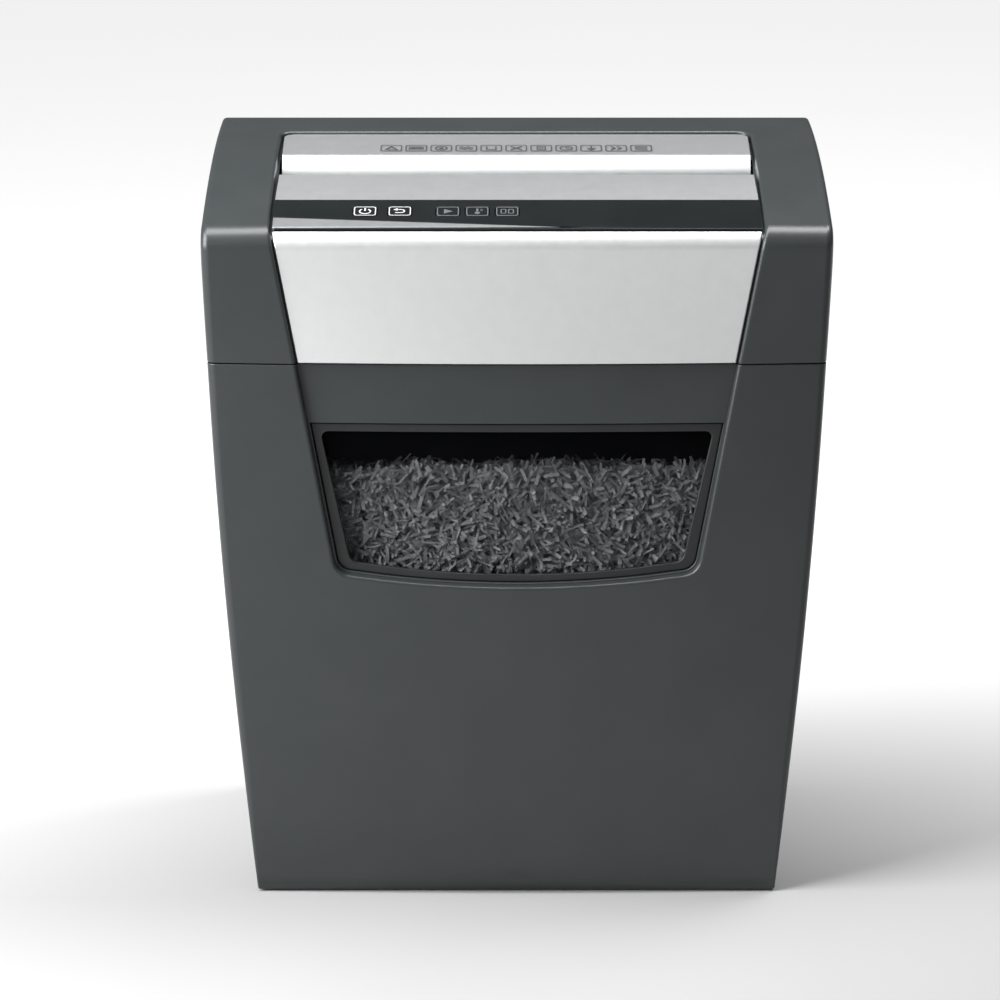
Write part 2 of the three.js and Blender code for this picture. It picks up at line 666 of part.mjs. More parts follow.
const STAND_Z = BASE_Z[1] + GAP;
const FRAME_Y = [-46, 42];
const RODS = [[-42, 322], [38, 322], [-34, 380], [38, 381]];
const ROD_R = 3;
const BUSH_R = 9;

function idlerCentre() {
  const toDrive = (DRIVE_MODULE * (DRIVE_TEETH + IDLER_SMALL_TEETH)) / 2;
  const toPinion = (PINION_MODULE * (IDLER_BIG_TEETH + PINION_TEETH)) / 2;
  const span = MOTOR_Y - REAR_SHAFT_Y;
  const along = (toDrive ** 2 - toPinion ** 2 + span ** 2) / (2 * span);
  return { y: REAR_SHAFT_Y + along, z: SHAFT_Z + Math.sqrt(toDrive ** 2 - along ** 2) };
}

const IDLER = idlerCentre();

function sidePlate(side, rearY) {
  const [x0, x1] = [side * PLATE_X, side * (PLATE_X + PLATE_T)].sort((a, b) => a - b);
  let plate = box([x0, FRAME_Y[0], STAND_Z], [x1, rearY, PLATE_TOP_Z]);
  for (const y of [FRONT_SHAFT_Y, REAR_SHAFT_Y]) {
    plate = plate.subtract(turnedX(rod(x0 - 1, x1 + 1, BUSH_R + 0.5), y, SHAFT_Z, 16));
  }
  return plate;
}

piece("side_plate_left", sidePlate(-1, FRAME_Y[1]), steel());
piece(
  "side_plate_right",
  sidePlate(1, MOTOR_Y + MOTOR_R)
    .subtract(turnedX(rod(PLATE_X - 1, PLATE_X + PLATE_T + 1, 9), MOTOR_Y, SHAFT_Z, 16)),
  steel(),
);

RODS.forEach(([y, z], i) => {
  piece(`tie_rod_${i + 1}`, turnedX(rod(-PLATE_X + GAP, PLATE_X - GAP, ROD_R), y, z, 10), steel());
});

const SHAFT_SEGMENTS = 12;
const JOURNAL_X = 116; // where the spacers end and the journals begin

// One cutter shaft: journals, spacers and discs as one turned body.
function cutterShaft(y, firstDisc, count, rightEnd) {
  const leftEnd = -JOURNAL_X - 10;
  const profile = [[leftEnd, 0], [leftEnd, SHAFT_R]];
  profile.push([-JOURNAL_X, SHAFT_R], [-JOURNAL_X, SPACER_R]);
  for (let i = 0; i < count; i++) {
    const x = firstDisc + i * DISC_PITCH;
    profile.push([x - DISC_W / 2, SPACER_R], [x - DISC_W / 2, DISC_R]);
    profile.push([x + DISC_W / 2, DISC_R], [x + DISC_W / 2, SPACER_R]);
  }
  profile.push([JOURNAL_X, SPACER_R], [JOURNAL_X, SHAFT_R], [rightEnd, SHAFT_R], [rightEnd, 0]);
  return turnedX(profile, y, SHAFT_Z, SHAFT_SEGMENTS);
}

// Spur gear on the X axis: tooth flanks are straight, thinned for backlash.
// phase turns it, in tooth pitches, from a tooth that points along +Y.
function gear(teeth, module, xs, y, z, phase, bore = 0) {
  const pitchR = (module * teeth) / 2;
  const [tipR, rootR] = [pitchR + module * 0.8, pitchR - module * 1.15];
  const step = (2 * Math.PI) / teeth;
  const outline = new THREE.Shape();
  const corners = [[rootR, -0.3], [tipR, -0.12], [tipR, 0.12], [rootR, 0.3]];
  for (let i = 0; i < teeth; i++) {
    corners.forEach(([radius, turn], corner) => {
      const angle = (i + phase + turn) * step;
      const [u, v] = [radius * Math.cos(angle), radius * Math.sin(angle)];
      if (i + corner === 0) outline.moveTo(u, v);
      else outline.lineTo(u, v);
    });
  }
  const body = solid(
    extrude(outline, xs[1] - xs[0]).applyMatrix4(SIDE_TO_WORLD).translate(xs[0], y, z),
  );
  return bore ? body.subtract(turnedX(rod(xs[0] - 1, xs[1] + 1, bore), y, z, 12)) : body;
}

// Turn, in tooth pitches, that puts a tooth (or a space) of a wheel towards an angle.
const facing = (teeth, angle, space = 0) => (angle / (2 * Math.PI)) * teeth + space / 2;

const [FRONT_FIRST, FRONT_COUNT] = [-DISC_PITCH * 6, 13];
const [REAR_FIRST, REAR_COUNT] = [-DISC_PITCH * 5.5, 12];
const driveAngle = Math.atan2(IDLER.z - SHAFT_Z, IDLER.y - REAR_SHAFT_Y);
const motorAngle = Math.atan2(SHAFT_Z - IDLER.z, MOTOR_Y - IDLER.y);

piece(
  "cutter_shaft_front",
  join(
    cutterShaft(FRONT_SHAFT_Y, FRONT_FIRST, FRONT_COUNT, SYNC_X[1] + 0.8),
    gear(SYNC_TEETH, SYNC_MODULE, SYNC_X, FRONT_SHAFT_Y, SHAFT_Z, facing(SYNC_TEETH, 0)),
  ),
  hardenedSteel(),
);
piece(
  "cutter_shaft_rear",
  join(
    cutterShaft(REAR_SHAFT_Y, REAR_FIRST, REAR_COUNT, DRIVE_X[1] + 1),
    gear(SYNC_TEETH, SYNC_MODULE, SYNC_X, REAR_SHAFT_Y, SHAFT_Z, facing(SYNC_TEETH, Math.PI, 1)),
  ),
  hardenedSteel(),
);
piece(
  "drive_gear",
  gear(
    DRIVE_TEETH,
    DRIVE_MODULE,
    DRIVE_X,
    REAR_SHAFT_Y,
    SHAFT_Z,
    facing(DRIVE_TEETH, driveAngle),
    SHAFT_R + GAP,
  ),
  gearPlastic(),
);

const AXLE_R = 2.5;
piece(
  "idler_gear",
  join(
    gear(
      IDLER_SMALL_TEETH,
      DRIVE_MODULE,
      [DRIVE_X[0], BIG_X[0] + 1],
      IDLER.y,
      IDLER.z,
      facing(IDLER_SMALL_TEETH, driveAngle + Math.PI, 1),
    ),
    gear(
      IDLER_BIG_TEETH,
      PINION_MODULE,
      BIG_X,
      IDLER.y,
      IDLER.z,
      facing(IDLER_BIG_TEETH, motorAngle),
    ),
  ).subtract(turnedX(rod(DRIVE_X[0] - 5, BIG_X[1] + 5, AXLE_R + 0.4), IDLER.y, IDLER.z, 12)),
  gearPlastic(),
);
piece(
  "idler_axle",
  turnedX(rod(PLATE_X + PLATE_T + GAP, 150, AXLE_R), IDLER.y, IDLER.z, 12),
  steel(),
);

// Motor: a can with an open bore for the shaft, and a rotor that carries the pinion.
const CAN_X = [24, PLATE_X - GAP];
const CAN_BORE = 5;
const CAN_WALL = 3;
const ROTOR = { shaftR: 3, coreR: MOTOR_R - 7, x: [CAN_X[0] + 12, CAN_X[1] - 14] };
piece(
  "motor_can",
  turnedX(
    [
      [CAN_X[0], CAN_BORE],
      [CAN_X[0], MOTOR_R],
      [CAN_X[1], MOTOR_R],
      [CAN_X[1], CAN_BORE],
      [CAN_X[1] - CAN_WALL, CAN_BORE],
      [CAN_X[1] - CAN_WALL, MOTOR_R - CAN_WALL],
      [CAN_X[0] + CAN_WALL, MOTOR_R - CAN_WALL],
      [CAN_X[0] + CAN_WALL, CAN_BORE],
      [CAN_X[0], CAN_BORE],
    ],
    MOTOR_Y,
    SHAFT_Z,
    20,
  ),
  steel(),
);
piece(
  "motor_rotor",
  join(
    turnedX(
      [
        [CAN_X[0] - 2, 0],
        [CAN_X[0] - 2, ROTOR.shaftR],
        [ROTOR.x[0], ROTOR.shaftR],
        [ROTOR.x[0], ROTOR.coreR],
        [ROTOR.x[1], ROTOR.coreR],
        [ROTOR.x[1], ROTOR.shaftR],
        [BIG_X[0], ROTOR.shaftR],
        [BIG_X[0], 0],
      ],
      MOTOR_Y,
      SHAFT_Z,
      12,
    ),
    gear(
      PINION_TEETH,
      PINION_MODULE,
      [BIG_X[0] - 0.5, BIG_X[1] + 0.5],
      MOTOR_Y,
      SHAFT_Z,
      facing(PINION_TEETH, motorAngle + Math.PI, 1),
    ),
  ),
  steel(),
);

const SHAFT_YS = { front: FRONT_SHAFT_Y, rear: REAR_SHAFT_Y };
for (const [row, y] of Object.entries(SHAFT_YS)) {
  for (const [sideName, side] of [["left", -1], ["right", 1]]) {
    const ends = [side * (PLATE_X - 1), side * (PLATE_X + PLATE_T + 0.6)].sort((a, b) => a - b);
    const bore = SHAFT_R + 0.3;
    const profile = [[ends[0], bore], [ends[0], BUSH_R], [ends[1], BUSH_R]];
    profile.push([ends[1], bore], [ends[0], bore]);
    piece(`bush_${row}_${sideName}`, turnedX(profile, y, SHAFT_Z, 16), bronze());
  }
}

// Stripper combs: a bar with one finger in each space between the discs of its shaft.
// away is -1 for the front shaft and 1 for the rear one.
const COMB = { z: SHAFT_Z - 4, barHeight: 16, t: 2.4, fingerHalf: 2.4, fingerHeight: 6 };

function comb(shaftY, away, firstDisc, count) {
  const bar = [DISC_R + 1, DISC_R + 1 + COMB.t].map((reach) => shaftY + away * reach);
  const tip = shaftY + away * (SPACER_R + 0.8);
  const [barLow, barHigh] = bar.toSorted((a, b) => a - b);
  const [fingerLow, fingerHigh] = [bar[0], tip].toSorted((a, b) => a - b);
  const spine = box(
    [-PLATE_X + 1, barLow, COMB.z - COMB.barHeight / 2],
    [PLATE_X - 1, barHigh, COMB.z + COMB.barHeight / 2],
  );
  const fingers = Array.from({ length: count - 1 }, (_, i) => {
    const x = firstDisc + (i + 0.5) * DISC_PITCH;
    return box(
      [x - COMB.fingerHalf, fingerLow, COMB.z - COMB.fingerHeight / 2],
      [x + COMB.fingerHalf, fingerHigh, COMB.z + COMB.fingerHeight / 2],
    );
  });
  return join(spine, ...fingers);
}

piece("comb_front", comb(FRONT_SHAFT_Y, -1, FRONT_FIRST, FRONT_COUNT), steel());
piece("comb_rear", comb(REAR_SHAFT_Y, 1, REAR_FIRST, REAR_COUNT), steel());

// Gear cover: a stepped box over the train, open underneath and towards the side plate.
const COVER_X = [PLATE_X + PLATE_T + GAP, 152];
const COVER_WALL = 1.8;
const COVER_FRONT = { y: [FRAME_Y[0], 40], topZ: 388 };
const COVER_REAR = { y: [18, 81], topZ: 400 };

function coverBlock(inset) {
  const [left, low, right] = [COVER_X[0] - inset, STAND_Z - inset, COVER_X[1] - inset];
  return join(
    box(
      [left, COVER_FRONT.y[0] + inset, low],
      [right, COVER_FRONT.y[1], COVER_FRONT.topZ - inset],
    ),
    box(
      [left, COVER_REAR.y[0] + inset, low],
      [right, COVER_REAR.y[1] - inset, COVER_REAR.topZ - inset],
    ),
  );
}

piece("gear_cover", coverBlock(0).subtract(coverBlock(COVER_WALL)), black());

// ---- Electrics -------------------------------------------------------------------------
const BOARD_T = 1.6;
const MAIN_BOARD = { x: -150, y: [-50, 60], z: [322, 384] };
const RELAY = { y: [-30, -6], z: [330, 346], height: 12 };
const CAPACITOR = { y: 40, z: 350, r: 8, height: 20 };
const mountX = MAIN_BOARD.x + BOARD_T + GAP;

piece(
  "main_board",
  box(
    [MAIN_BOARD.x, MAIN_BOARD.y[0], MAIN_BOARD.z[0]],
    [MAIN_BOARD.x + BOARD_T, MAIN_BOARD.y[1], MAIN_BOARD.z[1]],
  ),
  board(),
);
piece(
  "motor_relay",
  box([mountX, RELAY.y[0], RELAY.z[0]], [mountX + RELAY.height, RELAY.y[1], RELAY.z[1]]),
  black(),
);
piece(
  "smoothing_capacitor",
  turnedX(rod(mountX, mountX + CAPACITOR.height, CAPACITOR.r), CAPACITOR.y, CAPACITOR.z, 14),
  black(),
);

// The key board lies under the strip's window well, along its slope.
const KEY_BOARD = { size: [98, 15], x: -44, z: -11.2 };
const SWITCH = { side: 6, height: 2, z: -9.2 };

piece(
  "control_board",
  onStrip(new THREE.BoxGeometry(...KEY_BOARD.size, BOARD_T).translate(0, 0, KEY_BOARD.z), KEY_BOARD.x),
  board(),
);
for (const [name, x] of Object.entries(KEY_XS)) {
  const body = new THREE.BoxGeometry(SWITCH.side, SWITCH.side, SWITCH.height);
  piece(name.replace("_key", "_switch"), onStrip(body.translate(0, 0, SWITCH.z), x), black());
}

const SENSOR = { half: 4, depth: 4.8, z: [376, 383] };
for (const [name, near, away] of [
  ["paper_sensor_lamp", SLOT_Y[1] + CHUTE_SKIN + 1, 1],
  ["paper_sensor_eye", SLOT_Y[0] - CHUTE_SKIN - GAP, -1],
]) {
  const [low, high] = [near, near + away * SENSOR.depth].toSorted((a, b) => a - b);
  const body = box([-SENSOR.half, low, SENSOR.z[0]], [SENSOR.half, high, SENSOR.z[1]]);
  piece(name, body, black());
}

const INTERLOCK = { half: 5, y: [-8, 5], z: [STAND_Z + 3, 336] };
const PLUNGER_Z = [308.8, STAND_Z + 1.4];
piece(
  "interlock_switch",
  box(
    [PLUNGER.x - INTERLOCK.half, PLUNGER.y + INTERLOCK.y[0], INTERLOCK.z[0]],
    [PLUNGER.x + INTERLOCK.half, PLUNGER.y + INTERLOCK.y[1], INTERLOCK.z[1]],
  ),
  black(),
);
piece(
  "interlock_plunger",
  turnedZ(rod(...PLUNGER_Z, PLUNGER.r), PLUNGER.x, PLUNGER.y, 10),
  redPlastic(),
);

// Cord gland, flush in the rear wall, with its bore empty: a collar holds it inside the wall.
const GLAND_BORE = 3.6;
const GLAND_Y = [90, HALF_DEPTH - 0.4];
const COLLAR = { y: [96, 99], r: 11 };
const glandProfile = [
  [GLAND_Y[0], GLAND_BORE],
  [GLAND_Y[0], GLAND.r],
  [COLLAR.y[0], GLAND.r],
  [COLLAR.y[0], COLLAR.r],
  [COLLAR.y[1], COLLAR.r],
  [COLLAR.y[1], GLAND.r],
  [GLAND_Y[1], GLAND.r],
  [GLAND_Y[1], GLAND_BORE],
  [GLAND_Y[0], GLAND_BORE],
];
const glandPoints = glandProfile.map(([y, radius]) => new THREE.Vector2(radius, y));
piece(
  "cord_gland",
  solid(new THREE.LatheGeometry(glandPoints, 16).translate(GLAND.x, 0, GLAND.z)),
  rubber(),
);

// Screws through the head base into the shell's bosses, heads down.
const SCREW_HEAD = { r: 3.6, z: [BASE_Z[0] - 3.2, BASE_Z[0] - GAP] };
const SCREW_TOP_Z = BASE_Z[1] + 14;
BOSSES.forEach(([x, y], i) => {
  const profile = [
    [SCREW_HEAD.z[0], 0],
    [SCREW_HEAD.z[0], SCREW_HEAD.r],
    [SCREW_HEAD.z[1], SCREW_HEAD.r],
    [SCREW_HEAD.z[1], SCREW_R],
    [SCREW_TOP_Z, SCREW_R],
    [SCREW_TOP_Z, 0],
  ];
  piece(`base_screw_${i + 1}`, turnedZ(profile, x, y, 10), steel());
});

export default object;
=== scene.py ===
"""A paper shredder's looks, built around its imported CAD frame.

Shapes are worked out in millimetres, in the frame of the CAD model (+Z up, the front faces -Y), and
become metres as each mesh is made. A Sheet is a surface swept along X from a side view; most pieces
are slabs between two depths under such a sheet, outlined in its flat coordinates (x, u).
"""

import json
import math

import bmesh
import bpy
import numpy as np
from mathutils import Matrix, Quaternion, Vector
from mathutils.geometry import delaunay_2d_cdt
from mathutils.kdtree import KDTree


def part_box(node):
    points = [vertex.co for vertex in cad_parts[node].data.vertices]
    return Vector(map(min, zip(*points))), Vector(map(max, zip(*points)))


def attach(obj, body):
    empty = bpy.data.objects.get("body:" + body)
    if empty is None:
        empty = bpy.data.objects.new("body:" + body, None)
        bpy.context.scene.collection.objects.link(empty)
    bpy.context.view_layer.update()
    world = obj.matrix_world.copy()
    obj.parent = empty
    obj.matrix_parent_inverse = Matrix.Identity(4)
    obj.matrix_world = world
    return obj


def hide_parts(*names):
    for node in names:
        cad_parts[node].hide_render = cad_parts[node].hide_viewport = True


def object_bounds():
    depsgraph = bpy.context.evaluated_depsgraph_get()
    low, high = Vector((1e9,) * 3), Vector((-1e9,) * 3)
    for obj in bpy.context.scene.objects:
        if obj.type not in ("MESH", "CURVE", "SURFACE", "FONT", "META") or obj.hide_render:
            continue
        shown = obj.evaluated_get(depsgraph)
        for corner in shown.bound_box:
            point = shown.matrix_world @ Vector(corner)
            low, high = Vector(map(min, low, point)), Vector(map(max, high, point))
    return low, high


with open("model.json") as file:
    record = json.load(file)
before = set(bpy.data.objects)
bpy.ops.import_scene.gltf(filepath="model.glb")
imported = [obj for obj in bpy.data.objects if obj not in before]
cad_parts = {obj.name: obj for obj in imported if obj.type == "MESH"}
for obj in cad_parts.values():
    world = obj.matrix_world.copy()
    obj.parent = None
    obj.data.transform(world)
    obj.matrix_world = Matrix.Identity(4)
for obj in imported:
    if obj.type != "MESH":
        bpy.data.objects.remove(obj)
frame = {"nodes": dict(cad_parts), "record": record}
cad_low, cad_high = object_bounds()

MM = 0.001

# ---- Camera: in front, a little above, with a long lens ----
CAMERA_AT = (-0.0093, -2.35767, 0.83897)
CAMERA_PITCH = math.radians(15)
CAMERA_LENS, CAMERA_SENSOR = 151.62, 36

camera_data = bpy.data.cameras.new("camera")
camera_data.sensor_width = CAMERA_SENSOR
camera_data.lens = CAMERA_LENS
camera_data.clip_end = 20
camera = bpy.data.objects.new("camera", camera_data)
camera.location = CAMERA_AT
camera.rotation_euler = (math.pi / 2 - CAMERA_PITCH, 0, 0)
bpy.context.scene.collection.objects.link(camera)
bpy.context.scene.camera = camera


# ---- Sizes from the frame ----
def box_mm(node):
    """Lowest and highest corner of a CAD node, in millimetres."""
    low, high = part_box(node)
    return np.array(low) / MM, np.array(high) / MM


HALF_WIDTH = cad_high.x / MM
HALF_DEPTH = cad_high.y / MM
FRONT_DEPTH = -cad_low.y / MM
HEIGHT = cad_high.z / MM
HEAD_LOW_Z = box_mm("head_shell")[0][2]
BIN_LOW_Z, BIN_TOP_Z = (corner[2] for corner in box_mm("bin_shell"))
(_, SLOT_REAR_Y, SLOT_LOW_Z), (TRIM_HALF, CHUTE_REAR_Y, _) = box_mm("rear_chute")
SLOT_REAR_Y += 5  # the box starts in front of the slot, at its closed ends
CHUTE_FRONT_Y, SLOT_FRONT_Y = (corner[1] for corner in box_mm("front_chute"))
STRIP_END_Y, STRIP_REAR_Y = (corner[1] for corner in box_mm("control_strip"))
FASCIA_LOW_Z = box_mm("front_fascia")[0][2]
FASCIA_END_Y = STRIP_END_Y - 0.6
PAD_NODES = ("power_key", "reverse_key", "indicator_ready", "indicator_cooling", "indicator_overload")

# The CAD model's driving dimensions that a box can't give
SHOULDER_Z = 378
TAPER_TOP_Z = 370
TAPER = (0.0273, 0.0001134)
FRONT_SETBACK = 8
REAR_SETBACK = 5
BOW_AT_SPLIT = 7
BOW_AT_FLOOR = 4.3
SPLIT_Z = 310.8
CROWN_R = 650
CROWN_APEX_Y = 90
BROW_R = 14
REAR_EDGE_R = 3
CORNER_R = 5
TOP_EDGE_R = 3.4
FLOOR_EDGE_R = 1.2
SHARPENING = 70
HEAD_WALL = 2.8
BIN_WALL = 2.6
PILLAR_LOW_Z, PILLAR_LOW_HALF, PILLAR_SLOPE = 200, 102.2, 0.17778
DECK_HALF = 135.6
DECK_REAR_Y = 57.5
DECK_R = 8
DECK_RECESS = 5.5
PILLAR_FILLET = 2.0
BIN_RECESS = 4.5
WINDOW_RECESS = 8.5
WINDOW_FRAME_TOP_Z = 276.8
TRIM_RECESS = 1.0
TRIM_T = 2.4
SLOT_HALF = 112


def half_width(z):
    below = np.maximum(0, TAPER_TOP_Z - z)
    return HALF_WIDTH - TAPER[0] * below - TAPER[1] * below**2


def fallen(z):
    return np.maximum(0, SHOULDER_Z - z) / SHOULDER_Z


def bow(z):
    above = BOW_AT_SPLIT * np.maximum(0, SHOULDER_Z - z) / (SHOULDER_Z - SPLIT_Z)
    below = BOW_AT_FLOOR + (BOW_AT_SPLIT - BOW_AT_FLOOR) * z / SPLIT_Z
    return np.where(z > SPLIT_Z, above, below)


def front_y(z):
    return -FRONT_DEPTH + FRONT_SETBACK * fallen(z) ** 2


def rear_y(z):
    return HALF_DEPTH - REAR_SETBACK * fallen(z) ** 2


def crown_z(y):
    return HEIGHT - (CROWN_APEX_Y - y) ** 2 / (2 * CROWN_R)


def pillar_half(z):
    return PILLAR_LOW_HALF + PILLAR_SLOPE * (z - PILLAR_LOW_Z)


# ---- Flat outlines ----
def spread(a, b, step):
    """Evenly spaced values from a to b, no further apart than step."""
    return np.linspace(a, b, max(2, math.ceil(abs(b - a) / step) + 1))


def unit(vectors):
    return vectors / np.linalg.norm(vectors, axis=-1, keepdims=True)


def arc(centre, radius, start, end, step=10):
    """Points on a circle; angles in degrees."""
    angles = np.radians(spread(start, end, step))
    return np.c_[centre[0] + radius * np.cos(angles), centre[1] + radius * np.sin(angles)]


def rounded(corners, step=9):
    """A closed outline whose corners (x, u, radius) are true arcs."""
    places = [np.array(corner[:2], float) for corner in corners]
    points = []
    for i, (_, _, radius) in enumerate(corners):
        here = places[i]
        if radius <= 0:
            points.append(here)
            continue
        back, ahead = unit(places[i - 1] - here), unit(places[i + 1 - len(places)] - here)
        half = math.acos(np.clip(back @ ahead, -1, 1)) / 2
        centre = here + unit(back + ahead) * radius / math.sin(half)
        first, last = (here + side * radius / math.tan(half) - centre for side in (back, ahead))
        start, end = math.atan2(first[1], first[0]), math.atan2(last[1], last[0])
        turn = (end - start + math.pi) % (2 * math.pi) - math.pi
        for angle in spread(start, start + turn, math.radians(step)):
            points.append(centre + radius * np.array([math.cos(angle), math.sin(angle)]))
    return np.array(points)


def rectangle(x0, x1, u0, u1, radius=0.0):
    return rounded([(x0, u0, radius), (x1, u0, radius), (x1, u1, radius), (x0, u1, radius)])


def between(half, us):
    """The outline between a right-hand side and its mirror image."""
    return np.vstack([np.c_[half, us], np.c_[-half, us][::-1]])


def closed(loop):
    """The loop with its first point once more at its end."""
    return np.vstack([loop, loop[:1]])


def offset(line, distance, is_loop=True):
    """The line moved to its right by distance."""
    if is_loop:
        before, after = np.roll(line, 1, 0), np.roll(line, -1, 0)
    else:
        before, after = np.vstack([line[:1], line[:-1]]), np.vstack([line[1:], line[-1:]])

    def right(vector):
        length = np.maximum(np.hypot(vector[:, 0], vector[:, 1]), 1e-12)[:, None]
        return np.c_[vector[:, 1], -vector[:, 0]] / length

    first, second = right(line - before), right(after - line)
    if not is_loop:
        first[0], second[-1] = second[0], first[-1]
    middle = unit(first + second)
    return line + middle * (distance / np.maximum((middle * first).sum(1), 0.3))[:, None]


def distance_to(points, loops):
    """Distance from each point to the nearest edge of some loops."""
    best = np.full(len(points), np.inf)
    for loop in loops:
        for a, b in zip(loop, closed(loop)[1:]):
            along = b - a
            share = np.clip(((points - a) @ along) / max(along @ along, 1e-12), 0, 1)
            away = points - a - share[:, None] * along
            best = np.minimum(best, np.hypot(away[:, 0], away[:, 1]))
    return best


def inside(points, loops):
    """Whether each point lies inside the loops, by the even-odd rule."""
    x, u = points[:, 0], points[:, 1]
    odd = np.zeros(len(points), bool)
    for loop in loops:
        for (x0, u0), (x1, u1) in zip(loop, np.roll(loop, -1, 0)):
            if u0 == u1:
                continue
            crosses = (u0 > u) != (u1 > u)
            odd ^= crosses & (x < (x1 - x0) * (u - u0) / (u1 - u0) + x0)
    return odd


def depth_into(points, loops):
    """Signed distance to the loops' edges, positive inside them."""
    away = distance_to(points, loops)
    return np.where(inside(points, loops), away, -away)


def triangulate(loops, lines=()):
    """Triangles that fill the loops, cut along the lines. Returns points (x, u) and triangles."""
    points, edges = [], []
    for line, is_loop in [(loop, True) for loop in loops] + [(line, False) for line in lines]:
        first = len(points)
        points.extend(line)
        edges.extend((first + i, first + i + 1) for i in range(len(line) - 1))
        if is_loop:
            edges.append((len(points) - 1, first))
    made, _, faces, *_ = delaunay_2d_cdt([Vector(map(float, p)) for p in points], edges, [], 0, 1e-4)
    made, faces = np.array(made), np.array([f for f in faces if len(f) == 3])
    faces = faces[inside(made[faces].mean(1), loops)]
    used, faces = np.unique(faces, return_inverse=True)
    return made[used], faces.reshape(-1, 3)


# ---- Sheets and closed shells ----
ROW_REACH = 200  # past every outline


class Sheet:
    """A surface swept along X from side-view points (y, z), with the outside on its left.

    u is the length along the side view. The surface may bow: its points move by sway * x**2 in Y.
    """

    def __init__(self, side, sway=None):
        self.side = np.array(side, float)
        steps = np.hypot(*np.diff(self.side, axis=0).T)
        self.u = np.concatenate([[0], np.cumsum(steps)])
        tangent = unit(np.gradient(self.side, self.u, axis=0))
        self.normal = np.c_[-tangent[:, 1], tangent[:, 0]]
        self.sway = np.zeros(len(self.u)) if sway is None else np.array(sway, float)

    def read(self, u, values):
        return np.interp(u, self.u, values)

    def y(self, u):
        return self.read(u, self.side[:, 0])

    def z(self, u):
        return self.read(u, self.side[:, 1])

    def at(self, flat, depth):
        x, u = flat[:, 0], flat[:, 1]
        y = self.y(u) + self.read(u, self.sway) * x**2 - depth * self.read(u, self.normal[:, 0])
        return np.c_[x, y, self.z(u) - depth * self.read(u, self.normal[:, 1])]

    def rows(self, low=-np.inf, high=np.inf):
        """Lines across the sheet at its side-view points between two values of u."""
        return [np.array([[-ROW_REACH, u], [ROW_REACH, u]]) for u in self.u if low < u < high]


def close_shell(outer, inner, faces):
    """A closed shell from two like-numbered skins: both of them, and walls along their open edges."""
    count = len(outer)
    edges = np.vstack([faces[:, [0, 1]], faces[:, [1, 2]], faces[:, [2, 0]]])
    ordered = np.sort(edges, axis=1)
    _, which, times = np.unique(ordered, axis=0, return_index=True, return_counts=True)
    rim = edges[which[times == 1]]
    walls = [(b, a, a + count, b + count) for a, b in rim.tolist()]
    all_faces = faces.tolist() + (faces[:, ::-1] + count).tolist() + walls
    return np.vstack([outer, inner]), all_faces


def tree_of(points):
    tree = KDTree(len(points))
    for i, point in enumerate(points):
        tree.insert(point, i)
    tree.balance()
    return tree


SAME_PLACE = 3e-3


def weld(points):
    """For each point, the number of the first point at its place."""
    tree = tree_of(points)
    owner = np.arange(len(points))
    for i, point in enumerate(points):
        if owner[i] == i:
            for _, other, _ in tree.find_range(point, SAME_PLACE):
                owner[other] = min(owner[other], i)
    return owner


def quarter(radius, steps=6):
    """Distances from the tangent of a quarter round at even angles, from 0 to radius."""
    return radius * (1 - np.cos(np.radians(np.linspace(0, 90, steps + 1))))


LEDGE_WALL = 0.3  # the steep wall's width, seen from the front


def ledge(t, radius, level):
    """Depth at a distance t inside a recess's outline: a rounded edge, a steep wall, a floor."""
    rounding = radius - np.sqrt(np.maximum(0, radius**2 - np.clip(t + radius, 0, radius) ** 2))
    return rounding + np.clip(t / LEDGE_WALL, 0, 1) * (level - radius)


def slab(sheet, outline, front, back, holes=(), edge=0.4, lines=(), steps=4):
    """A closed slab between two depths under a sheet; its front edges are rounded by edge."""
    loops = [outline, *(hole[::-1] for hole in holes)]
    rings = [closed(offset(loop, -t)) for loop in loops for t in quarter(edge, steps)[1:]]
    rows = sheet.rows(outline[:, 1].min(), outline[:, 1].max())
    flat, faces = triangulate(loops, [*rings, *rows, *lines])
    t = np.clip(distance_to(flat, loops), 0, edge)
    drop = edge - np.sqrt(np.maximum(0, edge**2 - (edge - t) ** 2))
    return close_shell(sheet.at(flat, front + drop), sheet.at(flat, np.full(len(flat), back)), faces)


def block(low, high, edge=0.3):
    """A box from its lowest to its highest corner, its long edges rounded."""
    side = Sheet([(high[1] + 1, high[2]), (low[1] - 1, high[2])][::-1])
    outline = rectangle(low[0], high[0], 1, 1 + high[1] - low[1])
    return slab(side, outline, 0, high[2] - low[2], edge=edge)


TURN_POINTS = 8  # points around a housing's upright edges


